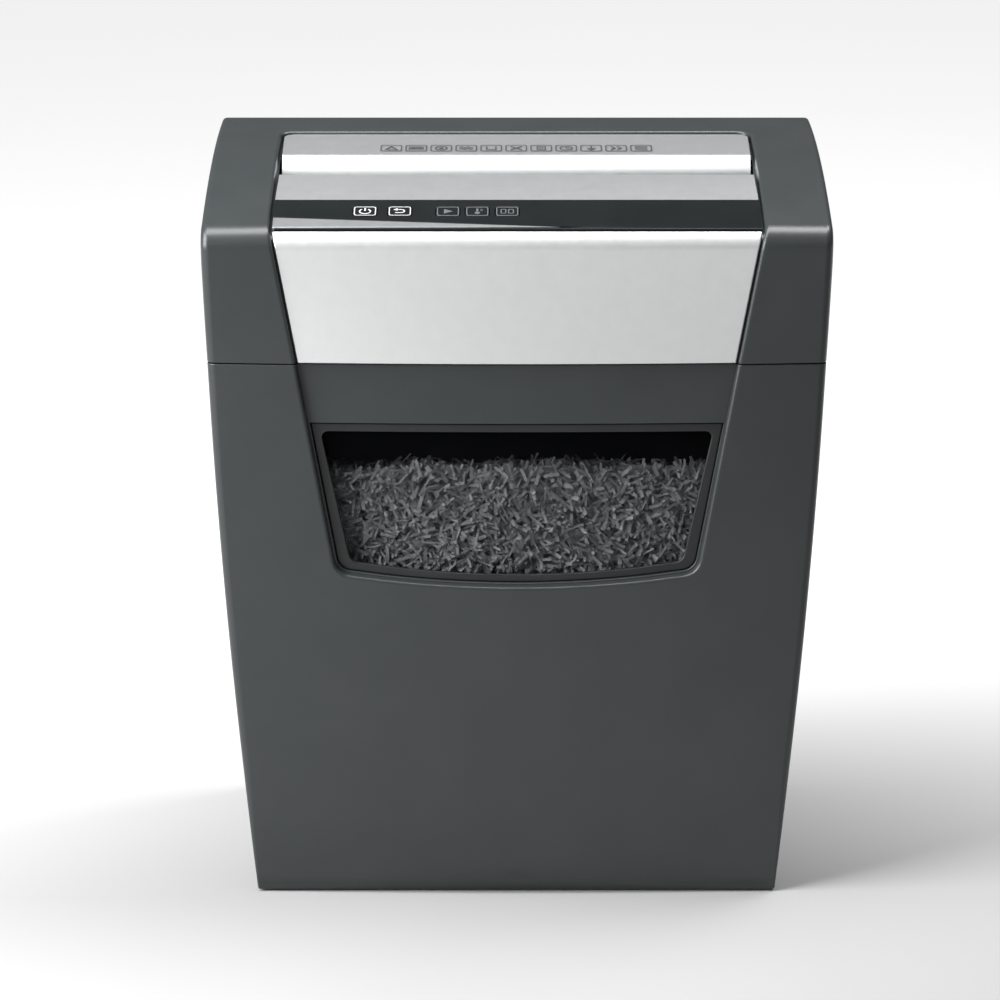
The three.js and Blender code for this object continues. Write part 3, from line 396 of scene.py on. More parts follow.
def housing(sheet, radii, wall, rim, depth, holes, lines, pairs):
    """A thin-walled body: a sheet whose two sides turn over an edge radius into flat side walls.

    radii is the edge radius at each side-view point, rim the extra inset there, and depth(flat, grow)
    the depth of the recesses, grown by grow for the inner skin. pairs are the side-view points that
    lie at the same height on the two ends of the side view.
    """
    half = half_width(sheet.side[:, 1])
    turn_x = half - radii
    lean = np.zeros(len(half))
    for _ in range(4):
        lean = np.arctan(2 * sheet.sway * (turn_x + radii * np.sin(lean)))
    edge_x = turn_x + radii * np.sin(lean)

    flat, faces = triangulate([between(edge_x, sheet.u), *holes], [*lines, *sheet.rows()])
    near_rim = np.interp(flat[:, 1], sheet.u, rim)
    keys = [sheet.at(flat, depth(flat, 0))]
    outer = [sheet.at(flat, depth(flat, 0) + near_rim)]
    inner = [sheet.at(flat, depth(flat, wall) + wall + near_rim)]
    all_faces, count = [faces], len(flat)

    edge_yz = sheet.side + np.c_[sheet.sway * edge_x**2, np.zeros(len(half))]
    turn_yz = edge_yz - sheet.normal * (radii * np.cos(lean))[:, None]

    def turned(side, radius):
        """The rounded edge: one row for each side-view point."""
        angles = lean[:, None] + (math.pi / 2 - lean)[:, None] * np.linspace(0, 1, TURN_POINTS)[None, :]
        x = side * (turn_x[:, None] + radius[:, None] * np.sin(angles))
        out = (radius[:, None] * np.cos(angles))[:, :, None] * sheet.normal[:, None, :]
        yz = turn_yz[:, None, :] + out
        return np.concatenate([x[:, :, None], yz], axis=2).reshape(-1, 3)

    number = np.arange(len(half) * TURN_POINTS).reshape(-1, TURN_POINTS)
    here, up = number[:-1, :-1].ravel(), number[1:, :-1].ravel()
    strip = np.vstack([np.c_[here, here + 1, up + 1], np.c_[here, up + 1, up]])
    wall_lines = [turn_yz[[a, b]] for a, b in pairs]
    side_flat, side_faces = triangulate([turn_yz], wall_lines)
    tree = tree_of([(*point, 0) for point in turn_yz])
    nearest = [tree.find((*point, 0))[1] for point in side_flat]

    def walled(side, inset):
        x = side * (turn_x + radii - inset)[nearest]
        return np.c_[x, side_flat]

    for side in (-1, 1):
        keys += [turned(side, radii), walled(side, np.zeros(len(half)))]
        outer += [turned(side, radii - rim), walled(side, rim)]
        inner += [turned(side, np.maximum(radii - wall - rim, 0.2)), walled(side, wall + rim)]
        all_faces += [strip + count, side_faces + count + number.size]
        count += number.size + len(side_flat)
    owner = weld(np.vstack(keys))
    faces = owner[np.vstack(all_faces)]
    whole = (faces[:, 0] != faces[:, 1]) & (faces[:, 1] != faces[:, 2]) & (faces[:, 0] != faces[:, 2])
    return close_shell(np.vstack(outer), np.vstack(inner), faces[whole])


def bands(rings):
    """Four-sided faces between rings of point numbers, each ring and the next."""
    return [
        (low[k], low[k + 1 - len(low)], high[k + 1 - len(low)], high[k])
        for low, high in zip(rings[:-1], rings[1:])
        for k in range(len(low))
    ]


SHARP = math.radians(38)


def make(name, shells, body, slot, stands_for=(), material=None):
    """One piece out of closed shells, smooth but for its sharp edges, by default in its slot's finish."""
    points, faces = [], []
    for shell_points, shell_faces in shells:
        first = sum(map(len, points))
        points.append(shell_points)
        faces += [tuple(i + first for i in face) for face in shell_faces]
    mesh = bpy.data.meshes.new(name)
    mesh.from_pydata((np.vstack(points) * MM).tolist(), [], faces)
    work = bmesh.new()
    work.from_mesh(mesh)
    loose = [v for v in work.verts if not v.link_faces]
    bmesh.ops.delete(work, geom=loose, context="VERTS")
    bmesh.ops.dissolve_degenerate(work, edges=work.edges, dist=1e-7)
    bmesh.ops.recalc_face_normals(work, faces=work.faces)
    work.to_mesh(mesh)
    work.free()
    mesh.shade_smooth()
    mesh.set_sharp_from_angle(angle=SHARP)
    mesh.materials.append(material or FINISHES[slot])
    piece = bpy.data.objects.new(name, mesh)
    bpy.context.scene.collection.objects.link(piece)
    piece.modifiers.new("even_normals", "WEIGHTED_NORMAL").keep_sharp = True
    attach(piece, body)
    if stands_for:
        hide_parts(*stands_for)


# ---- Materials ----
NOISE_SPAN = (0.3, 0.7)  # a noise rarely leaves these values


class Finish:
    """A node material in object coordinates: a shader whose inputs follow noises."""

    def __init__(self, name, **sockets):
        self.material = bpy.data.materials.new(name)
        self.material.use_nodes = True
        tree = self.material.node_tree
        self.nodes, self.links = tree.nodes, tree.links
        self.shader = self.nodes["Principled BSDF"]
        self.place = self.nodes.new("ShaderNodeTexCoord").outputs["Object"]
        for socket, value in sockets.items():
            self.shader.inputs[socket.replace("_", " ")].default_value = value

    def node(self, kind, output, inputs, operation=None):
        """One output of a new node, whose inputs are values or other nodes' outputs."""
        node = self.nodes.new("ShaderNode" + kind)
        if operation:
            node.operation = operation
        for name, value in inputs.items():
            if isinstance(value, bpy.types.NodeSocket):
                self.links.new(value, node.inputs[name])
            else:
                node.inputs[name].default_value = value
        return node.outputs[output]

    def feed(self, socket, source):
        self.links.new(source, self.shader.inputs[socket])

    def stretched(self, scale):
        return self.node("Mapping", "Vector", {"Vector": self.place, "Scale": scale}) if scale else self.place

    def noise(self, size_mm, detail=2.0, rough=0.5, stretch=None):
        inputs = {"Scale": 1 / (size_mm * MM), "Detail": detail, "Roughness": rough}
        return self.node("TexNoise", "Fac", {"Vector": self.stretched(stretch), **inputs})

    def cells(self, size_mm, stretch=None):
        inputs = {"Vector": self.stretched(stretch), "Scale": 1 / (size_mm * MM)}
        return self.node("TexVoronoi", "Distance", inputs)

    def ranged(self, source, low, high, bottom, top):
        """A value that goes from bottom to top as its source goes from low to high."""
        inputs = {"From Min": low, "From Max": high, "To Min": bottom, "To Max": top}
        return self.node("MapRange", "Result", {"Value": source, **inputs})

    def color(self, source, dark, light, low=NOISE_SPAN[0], high=NOISE_SPAN[1]):
        node = self.nodes.new("ShaderNodeValToRGB")
        ends = node.color_ramp.elements
        ends[0].position, ends[1].position = low, high
        ends[0].color, ends[1].color = (*dark, 1), (*light, 1)
        self.links.new(source, node.inputs["Fac"])
        self.feed("Base Color", node.outputs["Color"])

    def roughness(self, source, low, high):
        self.feed("Roughness", self.ranged(source, *NOISE_SPAN, low, high))

    def bump(self, source, height_mm):
        inputs = {"Height": source, "Strength": 1.0, "Distance": height_mm * MM}
        self.feed("Normal", self.node("Bump", "Normal", inputs))

    def darker_below(self, low_z, high_z, share):
        """Painted shade: fades the colour to a share of itself from one height, in millimetres, down to
        another.
        """
        z = self.node("SeparateXYZ", "Z", {"Vector": self.place})
        fade = self.ranged(z, low_z * MM, high_z * MM, share, 1)
        full = self.shader.inputs["Base Color"].links[0].from_socket
        self.feed("Base Color", self.node("VectorMath", "Vector", {0: full, "Scale": fade}, "SCALE"))

    def glow(self, behind, around):
        """Painted light: a glow of its own behind the object and far around it, each ranged by its distance.
        """
        y = self.node("SeparateXYZ", "Y", {"Vector": self.place})
        away = self.node("VectorMath", "Value", {0: self.place}, "LENGTH")
        either = {0: self.ranged(y, *behind), 1: self.ranged(away, *around)}
        self.feed("Emission Strength", self.node("Math", "Value", either, "MAXIMUM"))
        self.shader.inputs["Emission Color"].default_value = (1, 1, 1, 1)


def noisy(name, color, roughness, bump, **sockets):
    """A finish whose colour, roughness and bump each follow a noise, whose arguments come first."""
    made = Finish(name, **sockets)
    made.color(made.noise(*color[0]), *color[1:])
    made.roughness(made.noise(*roughness[0]), *roughness[1:])
    made.bump(made.noise(*bump[0]), bump[1])
    return made


def silver_plastic(name, dark, light):
    """Plastic with metallic paint under a thin satin lacquer."""
    return noisy(name, ((9, 5, 0.65), dark, light), ((2.5, 3), 0.36, 0.42), ((2.2, 2), 0.0016),
                 Metallic=0.7, Coat_Weight=0.1, Coat_Roughness=0.12)


def throat_silver():
    """Silver paint with painted shade: darker down in the feed slot, where little light gets in."""
    made = silver_plastic("throat_silver_painted_shade", *SILVER)
    made.darker_below(*THROAT_SHADE_Z, THROAT_SHADE_SHARE)
    return made.material


def brushed_steel(name, dark, light, stretch):
    made = Finish(name, Metallic=1.0)
    lines = made.noise(0.25, 3, 0.6, stretch)
    made.color(made.noise(14, 3), dark, light)
    made.roughness(lines, 0.24, 0.42)
    made.bump(lines, 0.006)
    return made


def bronze():
    """Sintered bronze, grainy."""
    made = Finish("sintered_bronze", Metallic=1.0)
    made.color(made.cells(0.4), (0.36, 0.22, 0.10), (0.56, 0.38, 0.18), 0.1, 0.6)
    made.roughness(made.noise(0.8, 3), 0.34, 0.5)
    made.bump(made.cells(0.3), 0.015)
    return made


def circuit_board():
    """Green lacquered glass fibre over copper tracks."""
    made = Finish("circuit_board")
    tracks = made.cells(2.2, (1, 3, 0.6))
    made.color(tracks, (0.010, 0.060, 0.030), (0.020, 0.110, 0.050), 0.2, 0.3)
    made.roughness(made.noise(3, 2), 0.25, 0.4)
    made.bump(tracks, 0.03)
    return made


def print_ink(name, dark, light):
    """A thick printed layer for the symbols."""
    color = ((1.5, 3), dark, light)
    return noisy(name, color, ((1.0, 2), 0.4, 0.55), ((0.3, 2), 0.006), Specular_IOR_Level=0.4).material


# The chutes' silver paint, and the fascia's lighter copy of it below: lit and shaded copies of one paint,
# painted light and shade
SILVER = (0.43, 0.44, 0.445), (0.46, 0.47, 0.475)
# Painted shade in the feed slot: the silver darkens to this share between these heights
THROAT_SHADE_Z = (SLOT_LOW_Z + 22, SLOT_LOW_Z + 34.5)
THROAT_SHADE_SHARE = 0.5

FINISHES = {
    # Charcoal moulded plastic with a fine spark-eroded grain
    "body_plastic": noisy(
        "charcoal_plastic", ((35, 4, 0.6), (0.029, 0.0335, 0.0345), (0.0335, 0.038, 0.039)),
        ((1.6, 3), 0.29, 0.36), ((1.1, 2), 0.006)),
    "frame_plastic": noisy(
        "black_plastic", ((25, 4, 0.6), (0.012, 0.013, 0.014), (0.017, 0.018, 0.019)),
        ((1.0, 3), 0.34, 0.46), ((0.4, 2), 0.01)),
    "smoked_window": noisy(
        "smoked_window", ((30, 2), (0.002, 0.002, 0.003), (0.004, 0.004, 0.005)),
        ((8, 3), 0.05, 0.09), ((22, 1), 0.02), Alpha=0.37, Specular_IOR_Level=0.03),
    # Office paper, with faint grey where print was cut through
    "shreds": noisy(
        "shredded_paper", ((5, 3, 0.7), (0.54, 0.57, 0.58), (0.80, 0.83, 0.84), 0.35, 0.6),
        ((1.5, 2), 0.75, 0.92), ((0.25, 3), 0.02), Specular_IOR_Level=0.2),
    "rubber": noisy(
        "rubber", ((8, 4), (0.016, 0.016, 0.017), (0.024, 0.024, 0.025)),
        ((1.5, 3), 0.7, 0.88), ((0.6, 3), 0.03), Specular_IOR_Level=0.35),
    "silver_trim": silver_plastic("silver_paint", *SILVER),
    "gloss_panel": noisy(
        "gloss_panel", ((20, 3), (0.008, 0.010, 0.0105), (0.010, 0.012, 0.0125)),
        ((6, 4), 0.14, 0.2), ((9, 2), 0.01), Specular_IOR_Level=0.3),
    "plate_steel": brushed_steel("plate_steel", (0.50, 0.51, 0.52), (0.60, 0.61, 0.62), (0.05, 1, 1)),
    "cutter_steel": brushed_steel("cutter_steel", (0.32, 0.33, 0.34), (0.44, 0.45, 0.46), (1, 0.2, 0.2)),
    "gear_plastic": noisy(
        "gear_plastic", ((12, 3), (0.62, 0.58, 0.49), (0.70, 0.67, 0.58)),
        ((1.8, 3), 0.38, 0.52), ((0.7, 2), 0.01), Subsurface_Weight=0.05),
    "bush_bronze": bronze(),
    "circuit_board": circuit_board(),
    "plunger_plastic": noisy(
        "red_plastic", ((4, 3), (0.42, 0.03, 0.02), (0.52, 0.05, 0.03)),
        ((1.0, 2), 0.35, 0.5), ((0.5, 2), 0.008)),
}
FINISHES = {slot: made.material for slot, made in FINISHES.items()}
# The rear chute's silver, with painted shade down in the feed slot
THROAT_SHADED_SILVER = throat_silver()
# A lit copy of the silver paint for the front-facing fascia: painted light
LIT_SILVER = silver_plastic("silver_paint_lit_copy", (0.79, 0.80, 0.80), (0.82, 0.83, 0.83)).material
# A darker copy of the silver paint for the wedge: painted shade on a painted reflection
REFLECTION_SILVER = silver_plastic("painted_reflection_silver", (0.32, 0.325, 0.33), (0.35, 0.355, 0.36)).material
WHITE_INK = print_ink("white_ink", (0.46, 0.47, 0.48), (0.52, 0.53, 0.54))
DIM_INK = print_ink("dim_ink", (0.085, 0.09, 0.095), (0.11, 0.115, 0.12))
GREY_INK = print_ink("grey_ink", (0.05, 0.05, 0.05), (0.075, 0.075, 0.075))

for row in frame["record"]["subparts"]:
    node = frame["nodes"][row["node"]]
    node.data.materials.clear()
    node.data.materials.append(FINISHES[row["material_slot"]])


# ---- Sheets of the head and the bin ----
RIM_R = 0.6
RIM_STEPS = np.array([0, 0.12, 0.3, RIM_R])
BELOW_RIM = 6
SIDE_STEP = 8
FLOOR_FADE = 60  # the front's bow fades out along the floor over this length


def rim_inset(z, rim_z):
    """How far the wall turns in near its open rim."""
    near = np.clip(RIM_R - np.abs(z - rim_z), 0, RIM_R)
    return RIM_R - np.sqrt(RIM_R**2 - near**2)


def joined(*runs):
    """Runs of (y, z, radius) rows joined into one, without the points they share."""
    rows = np.vstack(runs)
    apart = np.hypot(*np.diff(rows[:, :2], axis=0).T) > 0.02
    return rows[np.concatenate([[True], apart])]


def run(ys, zs, first_r, last_r=None):
    ys, zs = np.broadcast_arrays(np.array(ys, float), np.array(zs, float))
    return np.c_[ys, zs, np.linspace(first_r, last_r or first_r, len(ys))]


def brow():
    """Centre of the brow's arc, and its lean from vertical where it meets the crown."""
    y = -FRONT_DEPTH + BROW_R
    lean = 0.0
    for _ in range(12):
        touch_y = y - BROW_R * math.sin(lean)
        lean = math.atan((CROWN_APEX_Y - touch_y) / CROWN_R)
    return y, crown_z(touch_y) - BROW_R * math.cos(lean), lean


def body_view(rows, bowed, wall_count):
    """A body's sheet, edge radii and pairs of wall points; bowed is the share of the bow in each row."""
    sway = bowed * bow(rows[:, 1]) / half_width(rows[:, 1]) ** 2
    pairs = [(i, len(rows) - 1 - i) for i in range(1, wall_count)]
    return Sheet(rows[:, :2], sway), rows[:, 2], pairs


def head_sheet():
    brow_y, brow_z, lean = brow()
    rim_zs = HEAD_LOW_Z + RIM_STEPS
    wall_zs = np.concatenate([rim_zs, spread(HEAD_LOW_Z + BELOW_RIM, brow_z, SIDE_STEP)])
    brow_arc = arc((brow_y, brow_z), BROW_R, 180, 90 + math.degrees(lean), 5)
    crown_ys = spread(brow_arc[-1][0], HALF_DEPTH - REAR_EDGE_R, SIDE_STEP)
    rear_centre = (HALF_DEPTH - REAR_EDGE_R, crown_z(HALF_DEPTH - REAR_EDGE_R) - REAR_EDGE_R)
    rear_arc = arc(rear_centre, REAR_EDGE_R, 90, 0, 15)
    upper_zs = spread(rear_centre[1], brow_z, SIDE_STEP)
    lower_zs = wall_zs[::-1]
    rows = joined(
        run(front_y(wall_zs), wall_zs, CORNER_R),
        run(*brow_arc.T, CORNER_R, TOP_EDGE_R),
        run(crown_ys, crown_z(crown_ys), TOP_EDGE_R, REAR_EDGE_R - 0.1),
        run(*rear_arc.T, REAR_EDGE_R - 0.1),
        run(rear_y(upper_zs), upper_zs, REAR_EDGE_R - 0.1, CORNER_R),
        run(rear_y(lower_zs), lower_zs, CORNER_R),
    )
    return body_view(rows, rows[:, 0] < brow_y, len(wall_zs))


def bin_sheet():
    """The bin's side view; its upright corners sharpen towards the floor."""
    turn_z = BIN_LOW_Z + FLOOR_EDGE_R
    wall_zs = np.concatenate([BIN_TOP_Z - RIM_STEPS, spread(BIN_TOP_Z - SIDE_STEP, turn_z, SIDE_STEP)])
    rear_turn_y, front_turn_y = rear_y(turn_z) - FLOOR_EDGE_R, front_y(turn_z) + FLOOR_EDGE_R
    floor_ys = spread(rear_turn_y, front_turn_y, 15)
    wall_radii = np.interp(wall_zs, [turn_z, turn_z + SHARPENING], [FLOOR_EDGE_R, CORNER_R])
    rows = joined(
        np.c_[rear_y(wall_zs), wall_zs, wall_radii],
        run(*arc((rear_turn_y, turn_z), FLOOR_EDGE_R, 0, -90, 15).T, FLOOR_EDGE_R),
        run(floor_ys, BIN_LOW_Z, FLOOR_EDGE_R),
        run(*arc((front_turn_y, turn_z), FLOOR_EDGE_R, -90, -180, 15).T, FLOOR_EDGE_R),
        np.c_[front_y(wall_zs), wall_zs, wall_radii][::-1],
    )
    fade = np.clip((front_turn_y + FLOOR_FADE - rows[:, 0]) / FLOOR_FADE, 0, 1)
    return body_view(rows, fade, len(wall_zs))


HEAD, HEAD_RADII, HEAD_PAIRS = head_sheet()
BIN, BIN_RADII, BIN_PAIRS = bin_sheet()
HEAD_FRONT = HEAD.side[:, 0] < 0
BIN_FRONT = (BIN.side[:, 0] < 0) & (BIN.side[:, 1] > BIN_LOW_Z + FLOOR_EDGE_R)
CROWN_ROWS = slice(0, int(np.argmax(HEAD.side[:, 0])) + 1)


def head_u_at_z(z):
    """Length along the head's side view at a height of its front."""
    rising = slice(0, int(np.argmax(HEAD.side[:, 1])) + 1)
    return np.interp(z, HEAD.side[rising, 1], HEAD.u[rising])


def head_u_at_y(y, depth=0.0):
    """Length along the head's side view where its skin, at some depth, reaches y on the top."""
    us = np.linspace(head_u_at_z(SHOULDER_Z), HEAD.u[CROWN_ROWS][-1], 4000)
    return np.interp(y, HEAD.y(us) - depth * HEAD.read(us, HEAD.normal[:, 0]), us)


def bin_u_at_z(z):
    """Length along the bin's side view at a height of its front; runs on past the rim."""
    us, zs = BIN.u[BIN_FRONT], BIN.side[BIN_FRONT, 1]
    return np.interp(z, zs, us) + np.maximum(0, z - zs[-1])


FAN_STRIPS = 28  # across a bowed front


def fanned(edge_half, us):
    """Lines up a sheet that keep their share of its width."""
    shares = np.linspace(-1, 1, FAN_STRIPS + 1)[1:-1]
    return [np.c_[share * edge_half, us] for share in shares]


# ---- Recess outlines, in the sheets' flat coordinates ----
PILLAR_END_Y = -80
PAST = 12  # outlines that run off a sheet's rim do so by this much
RECESS_LOW_Z = 191
RECESS_SAG = 7.4
RECESS_LOW_R = 10
WINDOW_TOP_Z, WINDOW_TOP_HALF, WINDOW_TOP_R = 271.6, 108.8, 3.5
WINDOW_LOW_Z, WINDOW_LOW_HALF, WINDOW_LOW_R = 196.5, 92.8, 6
WINDOW_SAG = 7.2


def shield(top_z, top_half, top_r, low_z, low_half, low_r, sag):
    """Straight sides that close in downwards, and a lower edge that sags in the middle."""
    shares = np.linspace(-1, 1, 25)[3:-3]
    bottom = [(low_half * s, bin_u_at_z(low_z - sag * (1 - s * s)), 0) for s in shares]
    top_u, low_u = bin_u_at_z(top_z), bin_u_at_z(low_z)
    left, right = (-low_half, low_u, low_r), (low_half, low_u, low_r)
    return rounded([left, *bottom, right, (top_half, top_u, top_r), (-top_half, top_u, top_r)])


def bin_recess(grow, top_z):
    top_half, low_half = pillar_half(top_z) + grow, pillar_half(RECESS_LOW_Z) + grow
    low = (RECESS_LOW_Z - grow, low_half, RECESS_LOW_R + grow)
    return shield(top_z, top_half, 0, *low, RECESS_SAG)


def window_outline(grow):
    top = (WINDOW_TOP_Z + grow, WINDOW_TOP_HALF + grow, WINDOW_TOP_R + grow)
    low = (WINDOW_LOW_Z - grow, WINDOW_LOW_HALF + grow, WINDOW_LOW_R + grow)
    return shield(*top, *low, WINDOW_SAG)


def ledge_rings(loop, radius, margin=0.7):
    """The lines that a recess's rounded edge needs in the mesh; the loop runs anticlockwise."""
    places = [-radius - margin, *(-quarter(radius)), LEDGE_WALL, LEDGE_WALL + margin]
    return [closed(offset(loop, -place)) for place in places]


def deck_side(shrink):
    """Right-hand side of the head's recess, from below its rim up the pillar to the crown."""
    us = HEAD.u[CROWN_ROWS]
    us = us[us < head_u_at_y(PILLAR_END_Y)]
    half = np.minimum(pillar_half(HEAD.z(us)), DECK_HALF) - shrink
    low_half = half[0] - PILLAR_SLOPE * PAST
    return np.vstack([[[low_half, -PAST]], np.c_[half, us]])


def head_recess():
    right = [(x, u, 0) for x, u in deck_side(0)]
    left = [(-x, u, 0) for x, u, _ in right[::-1]]
    rear = head_u_at_y(DECK_REAR_Y)
    return rounded([*right, (DECK_HALF, rear, DECK_R), (-DECK_HALF, rear, DECK_R), *left])


# ---- Bin ----
EDGE_ROUND = 0.5
STRIKER = (140, 88, 284), (146, 100.4, 308.4)  # the rib that presses the interlock
SURROUND_DEPTH = (5.9, 8.1)
PANE_DEPTH = (WINDOW_RECESS, WINDOW_RECESS + 2.2)


def make_bin():
    recess = bin_recess(0, BIN_TOP_Z + PAST)
    well = bin_recess(-1.2, WINDOW_FRAME_TOP_Z)
    opening = window_outline(4)

    def depth(flat, grow):
        outer = ledge(depth_into(flat, [recess]) + grow, PILLAR_FILLET, BIN_RECESS)
        return outer + ledge(depth_into(flat, [well]) + grow, EDGE_ROUND, WINDOW_RECESS - BIN_RECESS)

    edge_half = half_width(BIN.side[BIN_FRONT, 1]) - CORNER_R
    lines = ledge_rings(recess, PILLAR_FILLET) + ledge_rings(well, EDGE_ROUND)
    lines += fanned(edge_half, BIN.u[BIN_FRONT])
    rim = rim_inset(BIN.side[:, 1], BIN_TOP_Z)
    shell = housing(BIN, BIN_RADII, BIN_WALL, rim, depth, [opening], lines, BIN_PAIRS)
    make("bin_body", [shell, block(*STRIKER)], "bin", "body_plastic", ["bin_shell"])


def make_window():
    surround = bin_recess(-1.6, WINDOW_FRAME_TOP_Z - 0.4)
    opening = window_outline(0)
    lines = fanned(half_width(BIN.side[BIN_FRONT, 1]), BIN.u[BIN_FRONT])
    shell = slab(BIN, surround, *SURROUND_DEPTH, [opening], edge=0.7, lines=lines)
    make("window_surround", [shell], "bin", "frame_plastic", ["window_frame"])
    pane = slab(BIN, window_outline(3.6), *PANE_DEPTH, edge=0.2, lines=lines)
    make("smoked_pane", [pane], "bin", "smoked_window", ["window_pane"])


# ---- Head cover and fascia ----
VENT_FIRST, VENT_STEP, VENT_COUNT, VENT_WIDTH = 26, 10, 9, 3.2
VENT_Z = (336, 366)
GLAND_X, GLAND_Z, GLAND_FLANGE = -140, 334, 3
KEY_Y = -74.5
KEY_WELL_X, KEY_WELL_HALF = (-96, 8), 9
THROAT_Y = (-28, 15)


def head_rear_u(z):
    us, zs = HEAD.u[~HEAD_FRONT][::-1], HEAD.side[~HEAD_FRONT, 1][::-1]
    return np.interp(z, zs, us)


def make_head():
    recess = head_recess()
    throat = rectangle(-DECK_HALF + 1, DECK_HALF - 1, *map(head_u_at_y, THROAT_Y), 1)
    key_well_y = (KEY_Y - KEY_WELL_HALF, KEY_Y + KEY_WELL_HALF)
    key_well = rectangle(*KEY_WELL_X, *map(head_u_at_y, key_well_y), 1)
    low_u, high_u = head_rear_u(VENT_Z[1]), head_rear_u(VENT_Z[0])
    vents = [
        rectangle(x, x + VENT_WIDTH, low_u, high_u, VENT_WIDTH / 2 - 0.01)
        for x in VENT_FIRST + VENT_STEP * np.arange(VENT_COUNT)
    ]
    gland_r = box_mm("cord_gland")[1][2] - GLAND_Z - GLAND_FLANGE + 0.4
    gland_hole = arc((GLAND_X, head_rear_u(GLAND_Z)), gland_r, 0, 350, 10)

    def depth(flat, grow):
        return ledge(depth_into(flat, [recess]) + grow, PILLAR_FILLET, DECK_RECESS)

    wall_u = HEAD.u[CROWN_ROWS][HEAD.side[CROWN_ROWS, 1] < SHOULDER_Z]
    edge_half = half_width(HEAD.z(wall_u)) - CORNER_R
    lines = ledge_rings(recess, PILLAR_FILLET) + fanned(edge_half, wall_u)
    rim = rim_inset(HEAD.side[:, 1], HEAD_LOW_Z)
    holes = [throat, key_well, *vents, gland_hole]
    shell = housing(HEAD, HEAD_RADII, HEAD_WALL, rim, depth, holes, lines, HEAD_PAIRS)
    make("head_cover", [shell], "head", "body_plastic", ["head_shell"])


FASCIA_GAP = 1.3
FASCIA_DEPTH = (2.0, 5.1)


def make_fascia():
    low, high = head_u_at_z(FASCIA_LOW_Z), head_u_at_y(FASCIA_END_Y, FASCIA_DEPTH[0])
    side = deck_side(FASCIA_GAP)
    us = np.concatenate([[low], side[(side[:, 1] > low + 0.5) & (side[:, 1] < high - 0.3), 1], [high]])
    halves = np.interp(us, side[:, 1], side[:, 0])
    shell = slab(HEAD, between(halves, us), *FASCIA_DEPTH, edge=0.8, lines=fanned(halves, us))
    # The fascia wears the lit copy of the silver paint: painted light
    make("fascia", [shell], "head", "silver_trim", ["front_fascia"], LIT_SILVER)


# ---- Control strip, keys and their symbols ----
STRIP_DEPTH = (TRIM_RECESS + 0.2, TRIM_RECESS + TRIM_T)
WEDGE_TIP = (24, 1.5)
WEDGE_WIDTH = 12.4
GAP = 0.4
PAD_SIZE = (12.9, 11.6)
PAD_R = 2
PAD_BACK = 4


def pad(x, u, grow):
    half_w, half_h = PAD_SIZE[0] / 2 + grow, PAD_SIZE[1] / 2 + grow
    return rectangle(x - half_w, x + half_w, u - half_h, u + half_h, PAD_R + grow)


def pad_x(node):
    low, high = box_mm(node)
    return (low[0] + high[0]) / 2


def make_strip():
    def u(y):
        return head_u_at_y(y, TRIM_RECESS)

    tip_x, rise = WEDGE_TIP
    wedge = np.array([
        (-TRIM_HALF, u(STRIP_END_Y + 0.5)),
        (tip_x, u(STRIP_END_Y + rise)),
        (-TRIM_HALF, u(STRIP_END_Y + WEDGE_WIDTH)),
    ])
    strip = np.array([
        (-TRIM_HALF + 1, u(STRIP_END_Y)),
        (TRIM_HALF, u(STRIP_END_Y)),
        (TRIM_HALF, u(STRIP_REAR_Y)),
        (-TRIM_HALF, u(STRIP_REAR_Y)),
        (-TRIM_HALF, u(STRIP_END_Y + WEDGE_WIDTH) + GAP),
        (tip_x + 12, u(STRIP_END_Y + rise) - 0.1),
    ])
    key_u = u(KEY_Y)
    windows = [pad(pad_x(node), key_u, GAP) for node in PAD_NODES]
    shell = slab(HEAD, strip, *STRIP_DEPTH, windows, edge=0.3)
    make("key_strip", [shell], "head", "gloss_panel", ["control_strip"])
    # The wedge sits where the strip's rolled lower edge shows a reflection: a painted reflection, in a darker
    # copy of the silver paint
    shell = slab(HEAD, wedge, TRIM_RECESS, STRIP_DEPTH[1], edge=0.5)
    make("painted_reflection_wedge", [shell], "head", "silver_trim", ["accent_trim"], REFLECTION_SILVER)
    return key_u


INK_T = 0.07  # how far a symbol stands proud
INK_ROOT = 0.05  # and how deep it is set into the surface


class Symbols:
    """Flat symbols on a sheet, drawn in marks about a centre (x, u) and cut as thin slabs."""

    def __init__(self, sheet, depth, centre):
        self.sheet, self.depth, self.centre = sheet, depth, centre
        self.shells = []

    def mark(self, outline, holes=()):
        """A filled outline, in either direction."""
        outline, *holes = (np.array(loop, float) + self.centre for loop in (outline, *holes))
        area = np.cross(outline, np.roll(outline, -1, 0)).sum()
        outline = outline if area > 0 else outline[::-1]
        front, back = self.depth - INK_T, self.depth + INK_ROOT
        self.shells.append(slab(self.sheet, outline, front, back, holes, edge=0.03, steps=1))

    def frame(self, w, h, radius, line, x=0.0):
        loops = [
            rectangle(x - w / 2 + inset, x + w / 2 - inset, inset - h / 2, h / 2 - inset, radius - inset)
            for inset in (0, line)
        ]
        self.mark(loops[0], loops[1:])

    def bar(self, half, u, line):
        self.stroke([(-half, u), (half, u)], line)

    def stroke(self, points, line):
        """An open line of even width."""
        points = np.array(points, float)
        self.mark(np.vstack([offset(points, line / 2, False), offset(points, -line / 2, False)[::-1]]))

    def ring(self, radius, line):
        self.mark(arc((0, 0), radius, 0, 345, 15), [arc((0, 0), radius - line, 0, 345, 15)])

    def dot(self, radius, u=0.0):
        self.mark(arc((0, u), radius, 0, 340, 20))


STEM_BEHIND, STEM_BELOW, STEM_R = 1.0, 3.8, 1.9
STEM_LENGTHS = (0, 1.0, 2.6, 2.9)


